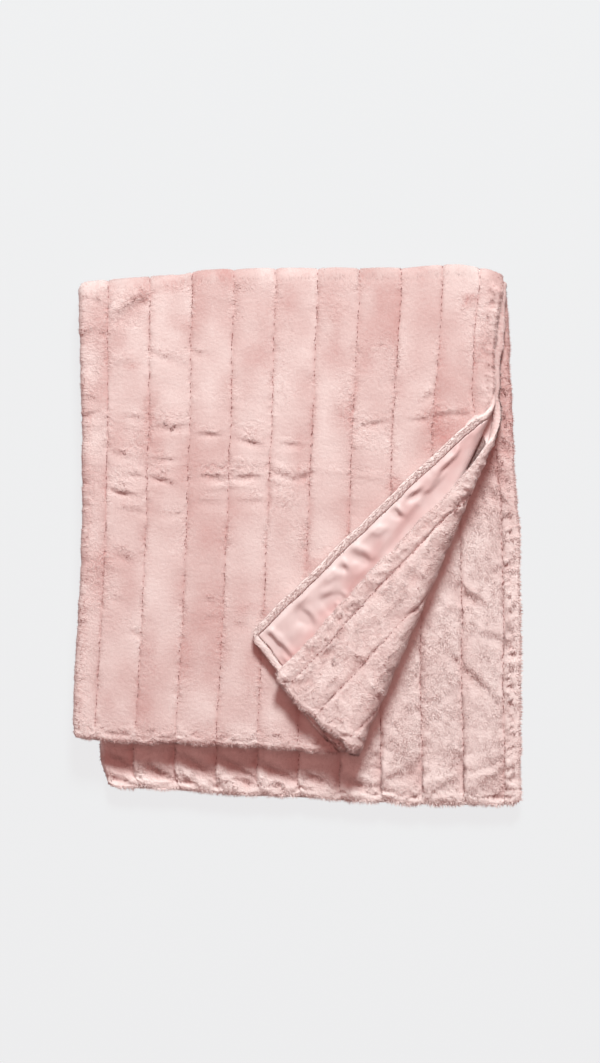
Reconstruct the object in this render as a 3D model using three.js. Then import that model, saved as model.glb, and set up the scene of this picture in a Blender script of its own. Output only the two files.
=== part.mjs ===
// A faux fur throw with a smooth lining, folded in quarters and laid flat, one corner turned back.
// Millimetres, +Z up. +X is to the right and +Y to the top edge, seen from above.
//
// The throw is folded in half at its left side with the fur outside, and then in half again over its
// top edge. That stacks four layers in two pairs. The open corner of the upper pair is rolled back over
// the pair, so the outer layer shows its lining there and the inner layer shows its fur.
//
// A point of the cloth is given by u, v and n. u runs across the throw from the side fold: positive is
// the outer half, on top and on the floor, and negative the inner half. v runs from the top fold to the
// hems: positive is the upper pair and negative the lower. n is the height over the line where fur
// backing and lining meet, positive on the fur side.
import * as THREE from "three";
import { mergeVertices } from "three/addons/utils/BufferGeometryUtils.js";

// The cloth.
const OUTER_WIDTH = 630;
const INNER_WIDTH = 621;
const UPPER_LENGTH = 716;
const LOWER_LENGTH = 786;
const PILE = 9;
const SEAM_PILE = 4.6;
const GROOVE_HALF = 11;
const SEAM_PITCH = 61.4;
const SEAM_COUNT = 10;
const OUTER_FIRST_SEAM = 38.5;
const INNER_FIRST_SEAM = 43;
const LINING_THICKNESS = 1.2;
const SEWN_GAP = 0.15;
const CORNER = 16;

// The turned edge of the fur, which wraps round to the lining's side.
const RIM = 10;
const RIM_STEP = 0.4;
const RIM_DROP = 1.5;
const LINING_INSET = RIM + 2 * RIM_STEP;
const RIM_PROFILE = [
  { inset: 0, pile: 4.5 },
  { inset: 4, pile: 7.8 },
  { inset: 9, pile: 8.6 },
  { inset: 14, pile: 6.8 },
  { inset: 21, pile: 9 },
];

// The two folds. The side fold's radius is that of the cloth's own line, and the top fold's is that of
// a pair's middle plane.
const SIDE_RADIUS = 1.85;
const PAIR_HALF = SIDE_RADIUS + PILE;
const GAP_BETWEEN_PAIRS = 1.5;
const TOP_RADIUS = PAIR_HALF + GAP_BETWEEN_PAIRS / 2;
const SIDE_ARC = (Math.PI * SIDE_RADIUS) / 2;
const TOP_ARC = (Math.PI * TOP_RADIUS) / 2;
const TOP_AXIS_Z = TOP_RADIUS + PAIR_HALF;
const TOP_REACH = TOP_RADIUS + PAIR_HALF;
const BEND_STEPS = 3;

// The turned corner rolls about a slanting line, which passes over a point of the right side. Each
// layer's roll starts a little to the left of the line, seen from above.
const ROLL_POINT = new THREE.Vector2(303.75, 207.75);
const ROLL_ALONG = new THREE.Vector2(-0.396, -0.918).normalize();
const ROLL_ACROSS = new THREE.Vector2(-ROLL_ALONG.y, ROLL_ALONG.x);
const GAP_UNDER_CORNER = 1.4;
const ROLL_AXIS_Z = TOP_AXIS_Z + TOP_RADIUS + PAIR_HALF + GAP_UNDER_CORNER / 2;
const ROLL_STEPS = 6;
const OUTER_ROLL_BACK = 14.25;
const INNER_ROLL_BACK = 3;

// Where the sides of each pair lie. down is 0 at the top fold and 1 at the hem, fold is the outside of
// the side fold, and outer and inner are the cut edges of the two layers.
const UPPER_SIDES = [
  { down: 0, fold: -327, outer: 306.5, inner: 310 },
  { down: 0.09, fold: -326, outer: 297, inner: 308 },
  { down: 0.15, fold: -325, outer: 293, inner: 303.5 },
  { down: 0.205, fold: -324, outer: 294, inner: 300 },
  { down: 0.26, fold: -323, outer: 299, inner: 299 },
  { down: 0.325, fold: -322, outer: 308, inner: 299 },
  { down: 0.455, fold: -321.5, outer: 310, inner: 287 },
  { down: 0.6, fold: -324, outer: 310, inner: 284 },
  { down: 0.79, fold: -330, outer: 308.5, inner: 275 },
  { down: 0.9, fold: -334, outer: 306.5, inner: 270 },
  { down: 1, fold: -335, outer: 305, inner: 266 },
];
const LOWER_SIDES = [
  { down: 0, fold: -327, outer: 306.5, inner: 310 },
  { down: 0.05, fold: -324, outer: 309, inner: 316 },
  { down: 0.17, fold: -320, outer: 312, inner: 319 },
  { down: 0.33, fold: -314, outer: 317, inner: 324 },
  { down: 0.48, fold: -309, outer: 325, inner: 332 },
  { down: 0.64, fold: -303, outer: 328, inner: 334 },
  { down: 0.8, fold: -298, outer: 328, inner: 334 },
  { down: 1, fold: -292, outer: 328, inner: 334 },
];

// Where three seams of the outer half run, by their number from the side fold. On the top layer they lean
// to the left on their way down. On the floor they keep the places that they have at the top fold.
const STEERED_SEAMS = { first: 0, sixth: 5, ninth: 8 };
const UPPER_SEAMS = [
  { down: 0, first: -281, sixth: 31, ninth: 217 },
  { down: 0.38, first: -283, sixth: 20, ninth: 200 },
  { down: 1, first: -302, sixth: 0, ninth: 196 },
];

// Where the top fold and the hems lie. y is given across the object, from left to right.
const TOP_EDGE = [
  { x: -327, y: 377 },
  { x: -281, y: 382 },
  { x: -176, y: 389 },
  { x: -139, y: 396 },
  { x: 4, y: 399 },
  { x: 154, y: 399 },
  { x: 229, y: 404 },
  { x: 274, y: 399 },
  { x: 311, y: 388 },
];
const UPPER_HEMS = [
  { x: -335, outer: -298, inner: -298 },
  { x: -296, outer: -307, inner: -302 },
  { x: -146, outer: -314, inner: -310 },
  { x: 4, outer: -321, inner: -317 },
  { x: 91, outer: -329, inner: -328 },
  { x: 166, outer: -334, inner: -337 },
  { x: 232, outer: -319, inner: -343 },
  { x: 305, outer: -310, inner: -341 },
];
const LOWER_HEMS = [
  { x: -292, outer: -374, inner: -376 },
  { x: -167, outer: -377, inner: -382 },
  { x: -107, outer: -384, inner: -389 },
  { x: -17, outer: -386, inner: -391 },
  { x: 88, outer: -395, inner: -400 },
  { x: 193, outer: -399, inner: -404 },
  { x: 334, outer: -399, inner: -404 },
];

// The main creases of the fur, as troughs. x and y are the middle of each, seen from above, half is half
// of its length along the slant, in degrees from +X, and wide is its half width.
const UPPER_CREASES = [
  { x: -140, y: 86, half: 22, slant: 0, wide: 14, deep: 2.2 },
  { x: -78, y: 86, half: 22, slant: 0, wide: 14, deep: 2.4 },
  { x: -18, y: 89, half: 24, slant: 0, wide: 14, deep: 2.2 },
  { x: -262, y: 66, half: 22, slant: -20, wide: 14, deep: 2.2 },
  { x: -206, y: 82, half: 20, slant: -18, wide: 13, deep: 2 },
  { x: -189, y: 158, half: 18, slant: -28, wide: 13, deep: 2 },
  { x: -132, y: 152, half: 18, slant: -18, wide: 13, deep: 1.8 },
  { x: -70, y: 140, half: 20, slant: -15, wide: 13, deep: 2.2 },
  { x: -256, y: 330, half: 60, slant: 35, wide: 14, deep: 1.8 },
  { x: 112, y: 168, half: 24, slant: 8, wide: 13, deep: 1.5 },
];
const LOWER_CREASES = [
  { x: 205, y: -372, half: 34, slant: 23, wide: 13, deep: 2.2 },
  { x: 276, y: -364, half: 34, slant: 23, wide: 13, deep: 2.2 },
  { x: 270, y: -205, half: 50, slant: -42, wide: 14, deep: 1.8 },
];
const CREASE_BANDS = [86, 152];
const CREASE_BAND_HALF = 13;
const NEVER_ROLLS = -1e4;

/** Value of a column at a key, on straight lines between the rows of a table. */
function lookUp(table, keyName, key, column) {
  const last = table.length - 1;
  if (key <= table[0][keyName]) return table[0][column];
  if (key >= table[last][keyName]) return table[last][column];
  const after = table.findIndex((row) => row[keyName] > key);
  const low = table[after - 1];
  const high = table[after];
  const share = (key - low[keyName]) / (high[keyName] - low[keyName]);
  return THREE.MathUtils.lerp(low[column], high[column], share);
}

/** Width of the cloth's half that u lies in. */
function halfWidth(u) {
  return u >= 0 ? OUTER_WIDTH : INNER_WIDTH;
}

/** Length of the cloth's half that v lies in. */
function halfLength(v) {
  return v >= 0 ? UPPER_LENGTH : LOWER_LENGTH;
}

/** Cloth point moved so that a square corner of the cloth becomes a round one. */
function roundCorner(u, v) {
  const width = halfWidth(u);
  const length = halfLength(v);
  const p = (CORNER - (width - Math.abs(u))) / CORNER;
  const q = (CORNER - (length - Math.abs(v))) / CORNER;
  if (p <= 0 || q <= 0) return { u, v };
  const roundU = width - CORNER + CORNER * p * Math.sqrt(1 - (q * q) / 2);
  const roundV = length - CORNER + CORNER * q * Math.sqrt(1 - (p * p) / 2);
  return { u: Math.sign(u) * roundU, v: Math.sign(v) * roundV };
}

/** Distance from the side fold's axis, and height over the pair's middle plane. */
function foldSide(u, n) {
  const radius = SIDE_RADIUS + n;
  if (Math.abs(u) >= SIDE_ARC) {
    return { along: Math.abs(u) - SIDE_ARC, height: Math.sign(u) * radius };
  }
  const angle = u / SIDE_RADIUS;
  return { along: -radius * Math.cos(angle), height: radius * Math.sin(angle) };
}

/** Points that fix how the outer half is spread over its width: cloth distance and x from the axis. */
function outerSpread(sides, down, upper) {
  const axis = lookUp(sides, "down", down, "fold") + PAIR_HALF;
  const seams = Object.entries(STEERED_SEAMS).map(([name, index]) => ({
    along: OUTER_FIRST_SEAM + index * SEAM_PITCH - SIDE_ARC,
    x: lookUp(UPPER_SEAMS, "down", upper ? down : 0, name) - axis,
  }));
  const edge = { along: OUTER_WIDTH - SIDE_ARC, x: lookUp(sides, "down", down, "outer") - axis };
  return [{ along: 0, x: 0 }, ...seams, edge];
}

/** x of a cloth point from its distance along the layer and its share of the way down. */
function acrossPair(along, layer, upper, down) {
  const sides = upper ? UPPER_SIDES : LOWER_SIDES;
  const axis = lookUp(sides, "down", down, "fold") + PAIR_HALF;
  if (along <= 0) return axis + along;
  if (layer === "outer") return axis + lookUp(outerSpread(sides, down, upper), "along", along, "x");
  return axis + (along * (lookUp(sides, "down", down, "inner") - axis)) / (INNER_WIDTH - SIDE_ARC);
}

/** Place of a cloth point after both folds, with the corner not yet turned back. */
function foldFlat(uCut, vCut, n) {
  const { u, v } = roundCorner(uCut, vCut);
  const layer = u >= 0 ? "outer" : "inner";
  const upper = v >= 0;
  const { along, height } = foldSide(u, n);
  const flatLength = halfLength(v) - TOP_ARC;
  const down = Math.max(0, Math.abs(v) - TOP_ARC) / flatLength;
  const x = acrossPair(along, layer, upper, down);
  const axisY = lookUp(TOP_EDGE, "x", x, "y") - TOP_REACH;
  const reach = TOP_RADIUS + height;
  if (Math.abs(v) < TOP_ARC) {
    const angle = v / TOP_RADIUS;
    return new THREE.Vector3(x, axisY + reach * Math.cos(angle), TOP_AXIS_Z + reach * Math.sin(angle));
  }
  const hemY = lookUp(upper ? UPPER_HEMS : LOWER_HEMS, "x", x, layer);
  const y = THREE.MathUtils.lerp(axisY, hemY, down);
  return new THREE.Vector3(x, y, TOP_AXIS_Z + Math.sign(v) * reach);
}

/** How far each layer's roll starts behind the roll line, and the roll's radius at the cloth's line. */
function rollOf(u) {
  const side = u >= 0 ? 1 : -1;
  const clothZ = TOP_AXIS_Z + TOP_RADIUS + side * SIDE_RADIUS;
  return { start: u >= 0 ? -OUTER_ROLL_BACK : -INNER_ROLL_BACK, radius: ROLL_AXIS_Z - clothZ };
}

/** Distance of a cloth point past the start of its layer's roll. Negative points stay flat. */
function pastRoll(u, v) {
  if (v < TOP_ARC || Math.abs(u) < SIDE_ARC) return NEVER_ROLLS;
  const flat = foldFlat(u, v, 0);
  const offset = new THREE.Vector2(flat.x, flat.y).sub(ROLL_POINT);
  return offset.dot(ROLL_ACROSS) - rollOf(u).start;
}

/** Section of the roll at a step: distance across from the roll's start, and height. */
function rollStep(step, radius) {
  const angle = (Math.PI * step) / ROLL_STEPS;
  return { across: radius * Math.sin(angle), z: ROLL_AXIS_Z - radius * Math.cos(angle) };
}

/** Place of a cloth point on the finished fold. past is its distance past the start of the roll. */
function placePoint(u, v, n, past) {
  const point = foldFlat(u, v, n);
  if (past <= 0) return point;
  const roll = rollOf(u);
  const stepLength = (Math.PI * roll.radius) / ROLL_STEPS;
  const steps = Math.min(past / stepLength, ROLL_STEPS);
  const whole = Math.min(Math.floor(steps), ROLL_STEPS - 1);
  const low = rollStep(whole, ROLL_AXIS_Z - point.z);
  const high = rollStep(whole + 1, ROLL_AXIS_Z - point.z);
  const share = steps - whole;
  const beyond = Math.max(0, past - stepLength * ROLL_STEPS);
  const across = roll.start + THREE.MathUtils.lerp(low.across, high.across, share) - beyond;
  const along = new THREE.Vector2(point.x, point.y).sub(ROLL_POINT).dot(ROLL_ALONG);
  const plan = ROLL_POINT.clone().addScaledVector(ROLL_ALONG, along).addScaledVector(ROLL_ACROSS, across);
  return new THREE.Vector3(plan.x, plan.y, THREE.MathUtils.lerp(low.z, high.z, share));
}

/** u of each stitched seam on one side of the fold. */
function seamsOf(side) {
  const first = side > 0 ? OUTER_FIRST_SEAM : INNER_FIRST_SEAM;
  return Array.from({ length: SEAM_COUNT }, (_, index) => side * (first + index * SEAM_PITCH));
}
const SEAMS = [...seamsOf(-1), ...seamsOf(1)];

/** Distance from a cloth point to the nearest cut edge. */
function insetOf(u, v) {
  return Math.min(halfWidth(u) - Math.abs(u), halfLength(v) - Math.abs(v));
}

/** Creases of the layer that a cloth point lies in. Only the layers that show have any. */
function creasesOf(u, v) {
  if (u > 0 && v > 0) return UPPER_CREASES;
  if (u < 0 && v < 0) return LOWER_CREASES;
  return [];
}

/** Depth of the creases at a cloth point: each is a trough with rounded ends. */
function creaseDepth(u, v) {
  const flat = foldFlat(u, v, 0);
  let depth = 0;
  for (const crease of creasesOf(u, v)) {
    const slant = THREE.MathUtils.degToRad(crease.slant);
    const dx = flat.x - crease.x;
    const dy = flat.y - crease.y;
    const along = (dx * Math.cos(slant) + dy * Math.sin(slant)) / crease.half;
    const across = (dy * Math.cos(slant) - dx * Math.sin(slant)) / crease.wide;
    depth += crease.deep * Math.max(0, 1 - along * along - across * across);
  }
  return depth;
}

/** Height of the fur's outer face over the cloth's line. */
function furFace(u, v) {
  const toSeam = Math.min(...SEAMS.map((seam) => Math.abs(u - seam)));
  const rib = THREE.MathUtils.lerp(SEAM_PILE, PILE, Math.min(1, toSeam / GROOVE_HALF));
  const rim = lookUp(RIM_PROFILE, "inset", insetOf(u, v), "pile");
  return Math.min(rib, rim) - creaseDepth(u, v);
}

/** Height of the fur's inner face, which drops to the lining's side under the turned edge. */
function furBack(u, v) {
  const share = THREE.MathUtils.clamp((insetOf(u, v) - RIM) / RIM_STEP, 0, 1);
  return THREE.MathUtils.lerp(-RIM_DROP, SEWN_GAP, share);
}

/** Sorted numbers with any that nearly repeat left out. */
function sortedApart(values, least) {
  const sorted = [...values].sort((a, b) => a - b);
  return sorted.filter((value, index) => index === 0 || value - sorted[index - 1] > least);
}

/** Lines across a bend of the given arc, from one end to the other. */
function bendLines(arc) {
  return Array.from({ length: 2 * BEND_STEPS + 1 }, (_, index) => arc * (index / BEND_STEPS - 1));
}

/** Lines near both cut edges, at the given distances in from them. */
function edgeLines(low, high, insets) {
  return insets.flatMap((inset) => [low + inset, high - inset]);
}

/** Rows of a table, as v of the lines where they lie. */
function tableRows(table, side) {
  const length = halfLength(side) - TOP_ARC;
  return table.slice(1, -1).map((row) => side * (TOP_ARC + row.down * length));
}

/** v of every line where the planform's tables bend. */
function planRows() {
  return [...tableRows(UPPER_SIDES, 1), ...tableRows(UPPER_SEAMS, 1), ...tableRows(LOWER_SIDES, -1)];
}

/** v of the upper pair's line that lies at a height y in the middle of the object. */
function rowAt(y) {
  const axisY = lookUp(TOP_EDGE, "x", 0, "y") - TOP_REACH;
  const down = (axisY - y) / (axisY - lookUp(UPPER_HEMS, "x", 0, "outer"));
  return TOP_ARC + down * (UPPER_LENGTH - TOP_ARC);
}

/** Lines of the fur's outer face, where it has ribs, creases and a rolled rim. */
function furLines() {
  const rim = RIM_PROFILE.map((row) => row.inset);
  const columns = [...bendLines(SIDE_ARC), ...edgeLines(-INNER_WIDTH, OUTER_WIDTH, rim)];
  for (const seam of SEAMS) {
    columns.push(seam - GROOVE_HALF, seam, seam + GROOVE_HALF, seam - (Math.sign(seam) * SEAM_PITCH) / 2);
  }
  const rows = [...bendLines(TOP_ARC), ...edgeLines(-LOWER_LENGTH, UPPER_LENGTH, rim)];
  rows.push(...planRows());
  for (const y of CREASE_BANDS) {
    rows.push(rowAt(y - CREASE_BAND_HALF), rowAt(y), rowAt(y + CREASE_BAND_HALF));
  }
  const inside = columns.filter((u) => u >= -INNER_WIDTH && u <= OUTER_WIDTH);
  return { columns: sortedApart(inside, 0.5), rows: sortedApart(rows, 0.5) };
}

/** Lines of a plain face: bends, the planform's rows, the steered seams, and the given edge lines. */
function plainLines(insets, trim) {
  const steered = Object.values(STEERED_SEAMS).map((index) => seamsOf(1)[index]);
  const columns = [...bendLines(SIDE_ARC), ...steered, seamsOf(-1)[SEAM_COUNT / 2]];
  const rows = [...bendLines(TOP_ARC), ...planRows()];
  columns.push(...edgeLines(-INNER_WIDTH, OUTER_WIDTH, insets));
  rows.push(...edgeLines(-LOWER_LENGTH, UPPER_LENGTH, insets));
  const columnInside = (u) => u >= trim - INNER_WIDTH && u <= OUTER_WIDTH - trim;
  const rowInside = (v) => v >= trim - LOWER_LENGTH && v <= UPPER_LENGTH - trim;
  return {
    columns: sortedApart(columns.filter(columnInside), 0.3),
    rows: sortedApart(rows.filter(rowInside), 0.3),
  };
}

/** A convex polygon cut along one level of past into the part below and the part above it. */
function cutAtLevel(polygon, level) {
  const below = [];
  const above = [];
  polygon.forEach((from, index) => {
    const to = polygon[(index + 1) % polygon.length];
    if (from.past <= level) below.push(from);
    if (from.past >= level) above.push(from);
    if ((from.past - level) * (to.past - level) < 0) {
      const [low, high] = from.past < to.past ? [from, to] : [to, from];
      const share = (level - low.past) / (high.past - low.past);
      const u = low.u + (high.u - low.u) * share;
      const v = low.v + (high.v - low.v) * share;
      below.push({ u, v, past: level });
      above.push({ u, v, past: level });
    }
  });
  return [below, above];
}

/** Convex polygons of the cloth between the lines, cut where the roll bends. */
function clothCells({ columns, rows }) {
  const corner = (u, v) => ({ u, v, past: pastRoll(u, v) });
  const cells = [];
  for (let i = 0; i + 1 < columns.length; i += 1) {
    for (let j = 0; j + 1 < rows.length; j += 1) {
      const square = [
        corner(columns[i], rows[j]),
        corner(columns[i + 1], rows[j]),
        corner(columns[i + 1], rows[j + 1]),
        corner(columns[i], rows[j + 1]),
      ];
      const stepLength = (Math.PI * rollOf(columns[i] + columns[i + 1]).radius) / ROLL_STEPS;
      let rest = square;
      for (let step = 0; step <= ROLL_STEPS; step += 1) {
        const [below, above] = cutAtLevel(rest, step * stepLength);
        if (below.length > 2) cells.push(below);
        rest = above;
      }
      if (rest.length > 2) cells.push(rest);
    }
  }
  return cells;
}

/** Triangles of one face of the cloth. The fur side faces out where turned is false. */
function faceTriangles(cells, heightAt, turned) {
  const triangles = [];
  for (const cell of cells) {
    const points = cell.map(({ u, v, past }) => placePoint(u, v, heightAt(u, v), past));
    for (let index = 1; index + 1 < points.length; index += 1) {
      const corners = [points[0], points[index], points[index + 1]];
      triangles.push(turned ? corners : corners.reverse());
    }
  }
  return triangles;
}

/** The cut edge of a face as a closed ring of its points, in order round the cloth. */
function edgeRing(cells, bounds, heightAt) {
  const { low, high, bottom, top } = bounds;
  const found = new Map();
  for (const { u, v, past } of cells.flat()) {
    const onEdge = u === low || u === high || v === bottom || v === top;
    if (!onEdge) continue;
    let turn = 0;
    if (v === bottom) turn = (u - low) / (high - low);
    else if (u === high) turn = 1 + (v - bottom) / (top - bottom);
    else if (v === top) turn = 2 + (high - u) / (high - low);
    else turn = 3 + (top - v) / (top - bottom);
    found.set(turn.toFixed(7), { turn, point: placePoint(u, v, heightAt(u, v), past) });
  }
  return [...found.values()].sort((a, b) => a.turn - b.turn);
}

/** Triangles that join the cut edges of two faces, walking round both rings together. */
function wallTriangles(outerRing, innerRing) {
  const triangles = [];
  const closed = (ring) => [...ring, { turn: ring[0].turn + 4, point: ring[0].point }];
  const outer = closed(outerRing);
  const inner = closed(innerRing);
  let i = 0;
  let j = 0;
  while (i + 1 < outer.length || j + 1 < inner.length) {
    const outerNext = i + 1 < outer.length ? outer[i + 1].turn : Infinity;
    const innerNext = j + 1 < inner.length ? inner[j + 1].turn : Infinity;
    if (outerNext <= innerNext) {
      triangles.push([outer[i].point, outer[i + 1].point, inner[j].point]);
      i += 1;
    } else {
      triangles.push([outer[i].point, inner[j + 1].point, inner[j].point]);
      j += 1;
    }
  }
  return triangles;
}

/** The corners of the cloth that a set of lines covers. */
function boundsOf({ columns, rows }) {
  return { low: columns[0], high: columns.at(-1), bottom: rows[0], top: rows.at(-1) };
}

/** A closed sheet between two faces, each with its own lines and heights. */
function sheetGeometry(furSide, liningSide) {
  const furCells = clothCells(furSide.lines);
  const liningCells = clothCells(liningSide.lines);
  const bounds = boundsOf(furSide.lines);
  const triangles = [
    ...faceTriangles(furCells, furSide.heightAt, false),
    ...faceTriangles(liningCells, liningSide.heightAt, true),
    ...wallTriangles(
      edgeRing(furCells, bounds, furSide.heightAt),
      edgeRing(liningCells, bounds, liningSide.heightAt),
    ),
  ];
  const geometry = new THREE.BufferGeometry().setFromPoints(triangles.flat());
  const merged = mergeVertices(geometry, 1e-4);
  merged.computeVertexNormals();
  return merged;
}

/** The ribbed fur, with its turned edge. */
function furShell() {
  const insets = [0, RIM, RIM + RIM_STEP];
  const geometry = sheetGeometry(
    { lines: furLines(), heightAt: furFace },
    { lines: plainLines(insets, 0), heightAt: furBack },
  );
  const material = new THREE.MeshStandardMaterial({ color: "#dfbfb9", roughness: 0.95, metalness: 0 });
  const mesh = new THREE.Mesh(geometry, material);
  mesh.name = "fur_shell";
  return mesh;
}

/** The smooth lining, inside the fur's turned edge. */
function lining() {
  const lines = plainLines([LINING_INSET], LINING_INSET);
  const geometry = sheetGeometry(
    { lines, heightAt: () => -SEWN_GAP },
    { lines, heightAt: () => -SEWN_GAP - LINING_THICKNESS },
  );
  const material = new THREE.MeshStandardMaterial({ color: "#e5c3be", roughness: 0.45, metalness: 0 });
  const mesh = new THREE.Mesh(geometry, material);
  mesh.name = "lining";
  return mesh;
}

/** The throw, with its origin under the middle of its outline. */
function foldedThrow() {
  const group = new THREE.Group();
  group.add(furShell(), lining());
  group.updateMatrixWorld(true);
  const box = new THREE.Box3().setFromObject(group, true);
  const middle = box.getCenter(new THREE.Vector3());
  group.position.set(-middle.x, -middle.y, -box.min.z);
  return group;
}

export default foldedThrow();
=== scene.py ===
"""The looks of a folded faux fur throw: its ribbed fur, pile and stitching, and its smooth lining.

The throw is folded in half at its left side with the fur outside, then in half again over its top edge, and
the open corner of the upper pair of layers is rolled back over the pair. A point of the cloth has three
measures in millimetres, and FoldedCloth turns them into a place:

- c runs across the throw from the side fold, positive on the outer half of the cloth.
- v runs from the top fold to the hems, positive on the upper pair of layers.
- n is the height over the line where fur backing and lining meet, positive on the fur side.
"""

from __future__ import annotations

import logging
import math
from collections.abc import Callable, Sequence
from dataclasses import asdict, dataclass
from enum import Enum

import bpy
import numpy as np
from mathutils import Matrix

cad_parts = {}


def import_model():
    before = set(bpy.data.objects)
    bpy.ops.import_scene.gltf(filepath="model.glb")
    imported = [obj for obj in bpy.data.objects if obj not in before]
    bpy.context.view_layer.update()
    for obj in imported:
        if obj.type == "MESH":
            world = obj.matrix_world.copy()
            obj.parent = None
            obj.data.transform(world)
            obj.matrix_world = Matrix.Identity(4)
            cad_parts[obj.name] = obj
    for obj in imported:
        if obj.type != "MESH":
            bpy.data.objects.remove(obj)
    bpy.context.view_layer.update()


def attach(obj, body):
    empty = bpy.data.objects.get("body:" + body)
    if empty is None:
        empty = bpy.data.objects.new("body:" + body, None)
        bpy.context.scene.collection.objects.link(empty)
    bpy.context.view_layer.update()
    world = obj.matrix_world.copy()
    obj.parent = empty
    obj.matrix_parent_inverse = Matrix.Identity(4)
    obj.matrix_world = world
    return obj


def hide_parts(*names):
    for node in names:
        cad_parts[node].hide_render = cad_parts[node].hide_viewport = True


MM = 0.001
LOG = logging.getLogger("throw")
Array = np.ndarray
Heights = Callable[[Array, Array], Array]
Face = tuple[Array, Heights]
Bounds = tuple[float, float, float, float]
QUARTER = math.pi / 2

# Degrees over the floor at which the window stands, as seen from the throw.
WINDOW_ELEVATION = 33.5
# How far the outlines of creases and of rough patches wander, and over what distance, in millimetres.
CREASE_WANDER = (2.2, 11)
PATCH_WANDER = (7, 14)
# Sockets of a Mix node in its colour mode, which have the same names as those of its other modes.
MIX_FROM, MIX_TO, MIX_RESULT = 6, 7, 2


class Layer(Enum):
    """A layer of the folded throw, named by where it lies, with its number in arrays of layers."""

    TOP = 0
    TURNED = 1
    LOWER = 2
    FLOOR = 3


class Slot(Enum):
    """A material slot of the record."""

    FUR = "faux_fur"
    LINING = "lining_cloth"


@dataclass(frozen=True)
class SideRow:
    """Where the sides of a pair of layers lie at a share of the way down from the top fold."""

    down: float
    fold: float
    outer: float
    inner: float


@dataclass(frozen=True)
class SeamRow:
    """Where three seams of the top layer run at a share of the way down."""

    down: float
    first: float
    sixth: float
    ninth: float


@dataclass(frozen=True)
class HemRow:
    """How far down the hems of a pair's two layers reach at one x."""

    x: float
    outer: float
    inner: float


@dataclass(frozen=True)
class Crease:
    """A crease seen from above: its middle, half length, slant from +X in degrees, half width and depth.

    The pile on its upper side stands up by the lip's share of the depth, and drops to the depth on its
    lower side. A negative depth is a plain ridge.
    """

    x: float
    y: float
    half: float
    slant: float
    wide: float
    deep: float
    lip: float = 0.45


@dataclass(frozen=True)
class RoughPatch:
    """An oval of the top layer where the pile lies another way: its middle, half sizes, how ruffled it is,
    and how much paler its tone."""

    x: float
    y: float
    half_x: float
    half_y: float
    rough: float
    paler: float = 0.0

    def reach(self, x: Array, y: Array) -> Array:
        """How much points belong to the oval: 1 at its middle, fading at its rim."""
        oval = ((x - self.x) / self.half_x) ** 2 + ((y - self.y) / self.half_y) ** 2
        return np.exp(-(oval**1.5))


UPPER_SIDES = (
    SideRow(0.0, -327, 306.5, 310),
    SideRow(0.09, -326, 297, 308),
    SideRow(0.15, -325, 293, 303.5),
    SideRow(0.205, -324, 294, 300),
    SideRow(0.26, -323, 299, 299),
    SideRow(0.325, -322, 308, 299),
    SideRow(0.455, -321.5, 310, 287),
    SideRow(0.6, -324, 310, 284),
    SideRow(0.79, -330, 308.5, 275),
    SideRow(0.9, -334, 306.5, 270),
    SideRow(1.0, -335, 305, 266),
)
LOWER_SIDES = (
    SideRow(0.0, -327, 306.5, 310),
    SideRow(0.05, -324, 309, 316),
    SideRow(0.17, -320, 312, 319),
    SideRow(0.33, -314, 317, 324),
    SideRow(0.48, -309, 325, 332),
    SideRow(0.64, -303, 328, 334),
    SideRow(0.8, -298, 328, 334),
    SideRow(0.955, -296, 328, 334),
    SideRow(1.0, -285, 328, 334),
)
UPPER_SEAMS = (
    SeamRow(0.0, -281, 31, 217),
    SeamRow(0.38, -283, 20, 200),
    SeamRow(1.0, -302, 0, 196),
)
TOP_EDGE = (
    (-327, 377),
    (-281, 382),
    (-176, 389),
    (-139, 396),
    (4, 399),
    (154, 399),
    (229, 404),
    (274, 399),
    (311, 388),
)
UPPER_HEMS = (
    HemRow(-335, -298, -298),
    HemRow(-296, -307, -302),
    HemRow(-146, -314, -310),
    HemRow(4, -321, -317),
    HemRow(91, -329, -328),
    HemRow(166, -334, -337),
    HemRow(232, -319, -343),
    HemRow(305, -310, -341),
)
LOWER_HEMS = (
    HemRow(-292, -366, -369),
    HemRow(-274, -375, -377),
    HemRow(-167, -377, -382),
    HemRow(-107, -384, -389),
    HemRow(-17, -386, -391),
    HemRow(88, -395, -400),
    HemRow(193, -399, -404),
    HemRow(334, -399, -404),
)

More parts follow.
